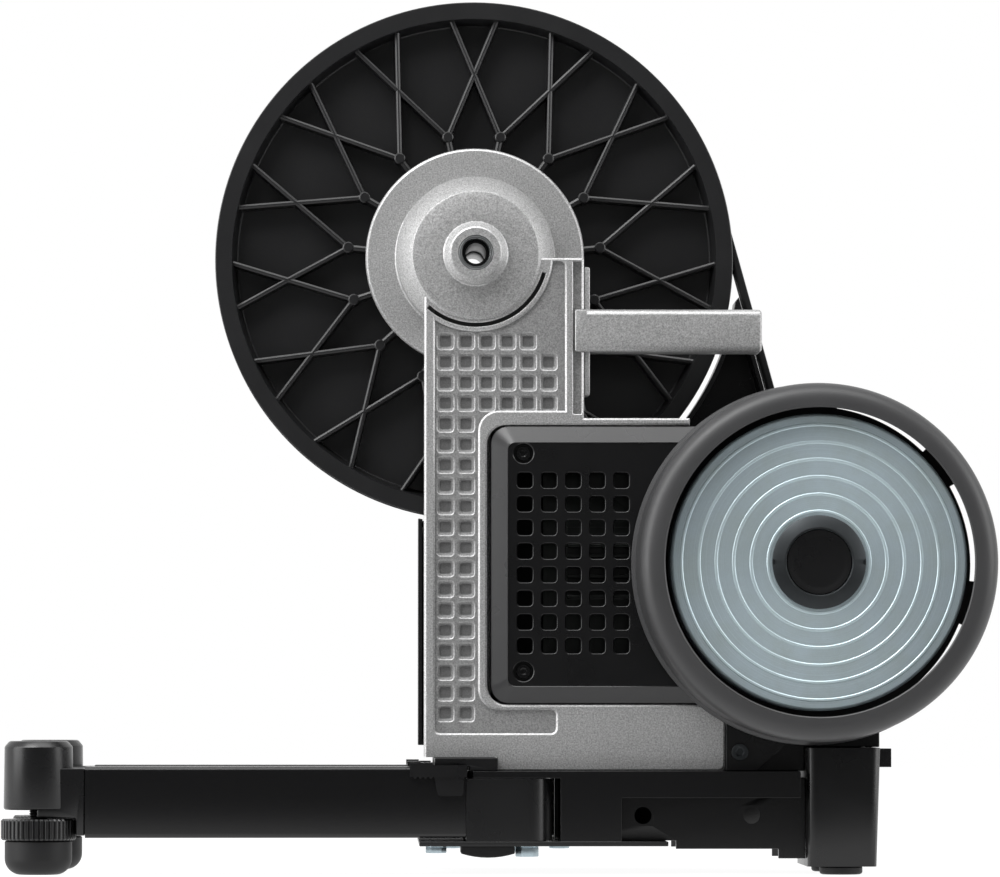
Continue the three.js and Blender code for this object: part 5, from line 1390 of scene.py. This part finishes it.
class BuildLegs(Operator):
    """Both folding legs with their end caps, feet and latches"""
    bl_idname = "trainer.legs"
    bl_label = "Legs"

    TUBE_END, TUBE_START = -227.3, -6
    WALL = 2

    def tube(self, name, side, s):
        y = side * LEG_Y
        low, high, half = LEG_BOTTOM + self.WALL, LEG_TOP - self.WALL, LEG_HALF - self.WALL
        outer = round_rect(y - LEG_HALF, y + LEG_HALF, LEG_BOTTOM, LEG_TOP, s.tube_corner, 6)
        inner = round_rect(y - half, y + half, low, high, 0.8, 6)
        loops = []
        for points, x in (
            (outer, self.TUBE_END), (outer, self.TUBE_START),
            (inner, self.TUBE_START), (inner, self.TUBE_END),
        ):
            loops.append([mm(x, v, z) for v, z in points])
        tube = skin("leg_tube_%s_look" % name, zip(*loops), wrap=True)
        finish(tube, "leg_" + name, "painted_steel", "painted_steel", "leg_tube_" + name)

    def end_cap(self, name, side):
        y = side * LEG_Y
        barrel = turned("leg_end_cap_%s_look" % name, [
            (0.01, -325.5), (19.3, -325.5), (20.1, -324.9), (20.3, -324), (19.85, -289.2),
            (19.4, -288.3), (17.4, -286), (16.4, -285.5), (0.01, -285.5),
        ], FOOT_X, y, 96, along_z)
        socket = rounded(join(
            block("socket", FOOT_X, -227.6, y - LEG_HALF, y + LEG_HALF, -330.2, -301.2),
            block("socket", -232.6, -227.6, y - LEG_HALF, y + LEG_HALF, -340.4, -301.2),
        ), 1.2, 3)
        spigot = block("spigot", -229.6, -205.3, y - 12.7, y + 12.7, -339.5, -302.8)
        bore = rod("bore", 6, -332, -292, FOOT_X, y, 48, along_z)
        body = cut(join(barrel, socket, spigot), bore)
        finish(body, "leg_" + name, "black_plastic", "black_plastic", "leg_end_cap_" + name)

    GRIP = (0.0, 0.12, 0.9, 0.12)
    THREAD = 1.5

    def adjuster(self, name, side, s):
        """Knurled ring on its screw."""
        y = side * LEG_Y
        steps = s.knurls * len(self.GRIP)

        def knurled(radius):
            return [
                polar(radius - self.GRIP[i % 4], math.tau * i / steps, FOOT_X, y)
                for i in range(steps)
            ]

        ring = loft("foot_adjuster_%s_look" % name, [
            (knurled(20.9), -343.2), (knurled(21.9), -342.2), (knurled(21.9), -331.9),
            (knurled(20.9), -330.9),
        ], along_z)
        profile = [(0.01, -331.2)]
        z = -330.9
        while z < -301.4:
            profile += [(5.4, z), (4.8, z + self.THREAD / 2)]
            z += self.THREAD
        profile += [(5.2, -300.6), (4.6, -300), (0.01, -300)]
        body = join(ring, turned("stem", profile, FOOT_X, y, 32, along_z))
        finish(body, "foot_" + name, "black_plastic", "black_plastic", "foot_adjuster_" + name)

    def pad(self, name, side):
        radius, edge, top = 19.6, 9.5, -343.5
        profile = [(0.01, top), (0.01, FLOOR_Z)]
        for i in range(13):
            cos, sin = polar(1, math.radians(i * 7.5))
            profile.append((radius - edge * (1 - sin), FLOOR_Z + edge * (1 - cos)))
        profile += [(radius, top - 0.7), (radius - 0.7, top)]
        pad = turned("foot_pad_%s_look" % name, profile, FOOT_X, side * LEG_Y, 96, along_z)
        finish(pad, "foot_" + name, "rubber", "rubber", "foot_pad_" + name)

    def latch(self, name, side):
        """Sliding latch: a plate with a knob, and a toothed lip with a tab outside the tube."""
        inner, outer = side * (LEG_Y - LEG_HALF), side * (LEG_Y + LEG_HALF + 0.3)
        lip_outer = outer + side * 2.8
        top, root, tip, low = -299.6, -306.3, -307.5, -317.4
        plate = block("leg_latch_%s_look" % name, -38.5, -25.2, inner, lip_outer, -300.2, -298.1)
        knob = block("knob", -39.9, -32.4, inner + side * 6, outer - side * 6, -300.2, -297.3)
        edge = [(-5.3, top), (-5.3, root)]
        x = -6.8
        while x > -37:
            edge += [(x, root), (x - 0.9, tip), (x - 1.7, tip), (x - 2.2, root)]
            x -= 3.05
        edge += [(-38.5, root), (-38.5, top)]
        lip = prism("lip", edge, outer, lip_outer)
        tab = prism("tab", [
            (-7, -305), (-7.4, -315.6), (-8.2, low), (-21.6, low), (-22.6, -315.6), (-24.5, -305),
        ], outer, lip_outer - side * 0.5)
        body = rounded(join(plate, knob, lip, tab), 0.35)
        finish(body, "latch_" + name, "black_plastic", "black_plastic", "leg_latch_" + name)

    def execute(self, context):
        s = context.scene.trainer_base
        for name, side in SIDES.items():
            self.tube(name, side, s)
            self.end_cap(name, side)
            self.adjuster(name, side, s)
            self.pad(name, side)
            self.latch(name, side)
            rounded_node("leg_hinge_block_" + name, s.bevel, "black_plastic", "black_plastic")
        return {"FINISHED"}


class BuildStage(Operator):
    """Pale floor, soft studio light and the camera"""
    bl_idname = "trainer.stage"
    bl_label = "Stage"

    def lamp(self, name, place, target, size, power):
        light = bpy.data.lights.new(name, "AREA")
        light.shape = "RECTANGLE"
        light.size, light.size_y = size
        light.energy = power
        lamp = bpy.data.objects.new(name, light)
        lamp.location = place
        lamp.rotation_euler = (Vector(target) - Vector(place)).to_track_quat("-Z", "Y").to_euler()
        bpy.context.scene.collection.objects.link(lamp)

    def seen_directly(self, nodes):
        """1 for rays from the camera, mirrors and glass, 0 for light on surfaces."""
        seen = 0.0
        for kind in ("Camera", "Glossy", "Transmission"):
            seen = nodes.add("ShaderNodeLightPath", output="Is %s Ray" % kind) + seen
        return seen.clamp()

    def room_level(self, nodes, front):
        """White room as seen, less bright on surfaces, and dim in front as metal shows it."""
        forward = nodes.parts(nodes.add("ShaderNodeTexCoord", output="Generated"))[1]
        behind = (forward * -2.1 - 0.8).clamp()
        unseen = 1 - nodes.add("ShaderNodeLightPath", output="Is Camera Ray")
        room = behind * unseen * (front - 1) + 1
        return room * (self.seen_directly(nodes) * 0.7 + 0.3)

    def floor_finish(self, color):
        """Pale matt floor that reads as white but keeps a shadow, dim where metal mirrors its front."""
        material = bpy.data.materials.new("floor")
        material.use_nodes = True
        nodes = Nodes(material.node_tree)
        nodes.tree.nodes.clear()
        matt = nodes.add("ShaderNodeBsdfDiffuse", Color=shade(color, 0.86))
        glow = nodes.add("ShaderNodeEmission", Color=color, Strength=1.2)
        dim = nodes.add("ShaderNodeEmission", Strength=0.08)
        depth = nodes.parts(nodes.add("ShaderNodeTexCoord", output="Object"))[1]
        front = 1 - (depth * 3.2 + 1.4).clamp()
        mirrored = nodes.add("ShaderNodeLightPath", output="Is Glossy Ray") * front
        lit = nodes.mix_shaders(self.seen_directly(nodes) * 0.8, matt, glow)
        result = nodes.tree.nodes.new("ShaderNodeOutputMaterial")
        plug(nodes.tree, result.inputs[0], nodes.mix_shaders(mirrored, lit, dim))
        return material

    def execute(self, context):
        s = context.scene.trainer_stage
        scene = context.scene
        scene.view_settings.view_transform = "Standard"

        camera = bpy.data.cameras.new("camera")
        camera.sensor_width = SENSOR
        camera.lens = FOCAL_PIXELS / IMAGE_WIDTH * SENSOR
        camera.clip_end = 50
        shot = bpy.data.objects.new("camera", camera)
        shot.location = mm(-60, -3630.8, -265.7)
        ahead = Vector((0.020775, 0.998817, 0.043974))
        shot.rotation_euler = ahead.to_track_quat("-Z", "Y").to_euler()
        scene.collection.objects.link(shot)
        scene.camera = shot

        world = bpy.data.worlds.new("studio")
        world.use_nodes = True
        nodes = Nodes(world.node_tree)
        back = nodes.tree.nodes["Background"]
        plug(nodes.tree, back.inputs["Color"], s.floor)
        plug(nodes.tree, back.inputs["Strength"], self.room_level(nodes, s.front_level))
        scene.world = world

        bm = bmesh.new()
        edge = 6
        corners = ((-edge, -edge, 0), (edge, -edge, 0), (edge, edge, 0), (-edge, edge, 0))
        bm.faces.new([bm.verts.new(corner) for corner in corners])
        floor = to_object("floor", bm)
        floor.data.materials.append(self.floor_finish(s.floor))

        self.lamp("key", (-1.1, -1.2, 2.1), (0, 0, 0.3), (1.4, 1.0), s.key_power)
        self.lamp("left", (-1.7, -0.55, 0.6), (0, 0, 0.3), (1.0, 1.8), s.side_power)
        self.lamp("right", (1.8, -0.55, 0.5), (0, 0, 0.3), (1.0, 1.8), s.side_power * 0.7)
        self.lamp("top", (0.1, -0.8, 2.0), (0, 0, 0.2), (1.8, 1.0), s.top_power)
        return {"FINISHED"}


class TrainerPanel(Panel):
    """Lists the trainer's pieces and settings"""
    bl_label = "Bike trainer"
    bl_idname = "VIEW3D_PT_trainer"
    bl_space_type = "VIEW_3D"
    bl_region_type = "UI"
    bl_category = "Trainer"

    def draw(self, context):
        for group in SETTINGS:
            box = self.layout.box()
            settings = getattr(context.scene, group)
            for label in settings.__annotations__:
                box.prop(settings, label)
        for operator in BUILD_ORDER:
            self.layout.operator(operator.bl_idname)


SETTINGS = {
    "trainer_finishes": TrainerFinishes,
    "trainer_casting": TrainerCasting,
    "trainer_drive": TrainerDrive,
    "trainer_flywheel": TrainerFlywheel,
    "trainer_covers": TrainerCovers,
    "trainer_base": TrainerBase,
    "trainer_stage": TrainerStage,
}
BUILD_ORDER = (
    BuildFinishes, BuildStage, BuildCasting, BuildHandle, BuildBrakeCover, BuildGuard,
    BuildFlywheel, BuildPulley, BuildBelt, BuildBeltCover, BuildHub, BuildSprockets,
    BuildBrake, BuildBase, BuildLegs,
)
CLASSES = (*SETTINGS.values(), *BUILD_ORDER, TrainerPanel)


def register():
    for cls in CLASSES:
        bpy.utils.register_class(cls)
    for name, group in SETTINGS.items():
        setattr(bpy.types.Scene, name, PointerProperty(type=group))


def unregister():
    for name in SETTINGS:
        delattr(bpy.types.Scene, name)
    for cls in reversed(CLASSES):
        bpy.utils.unregister_class(cls)


def main():
    """Builds every piece in order."""
    register()
    for operator in BUILD_ORDER:
        group, name = operator.bl_idname.split(".")
        getattr(getattr(bpy.ops, group), name)()


if __name__ == "__main__":
    main()
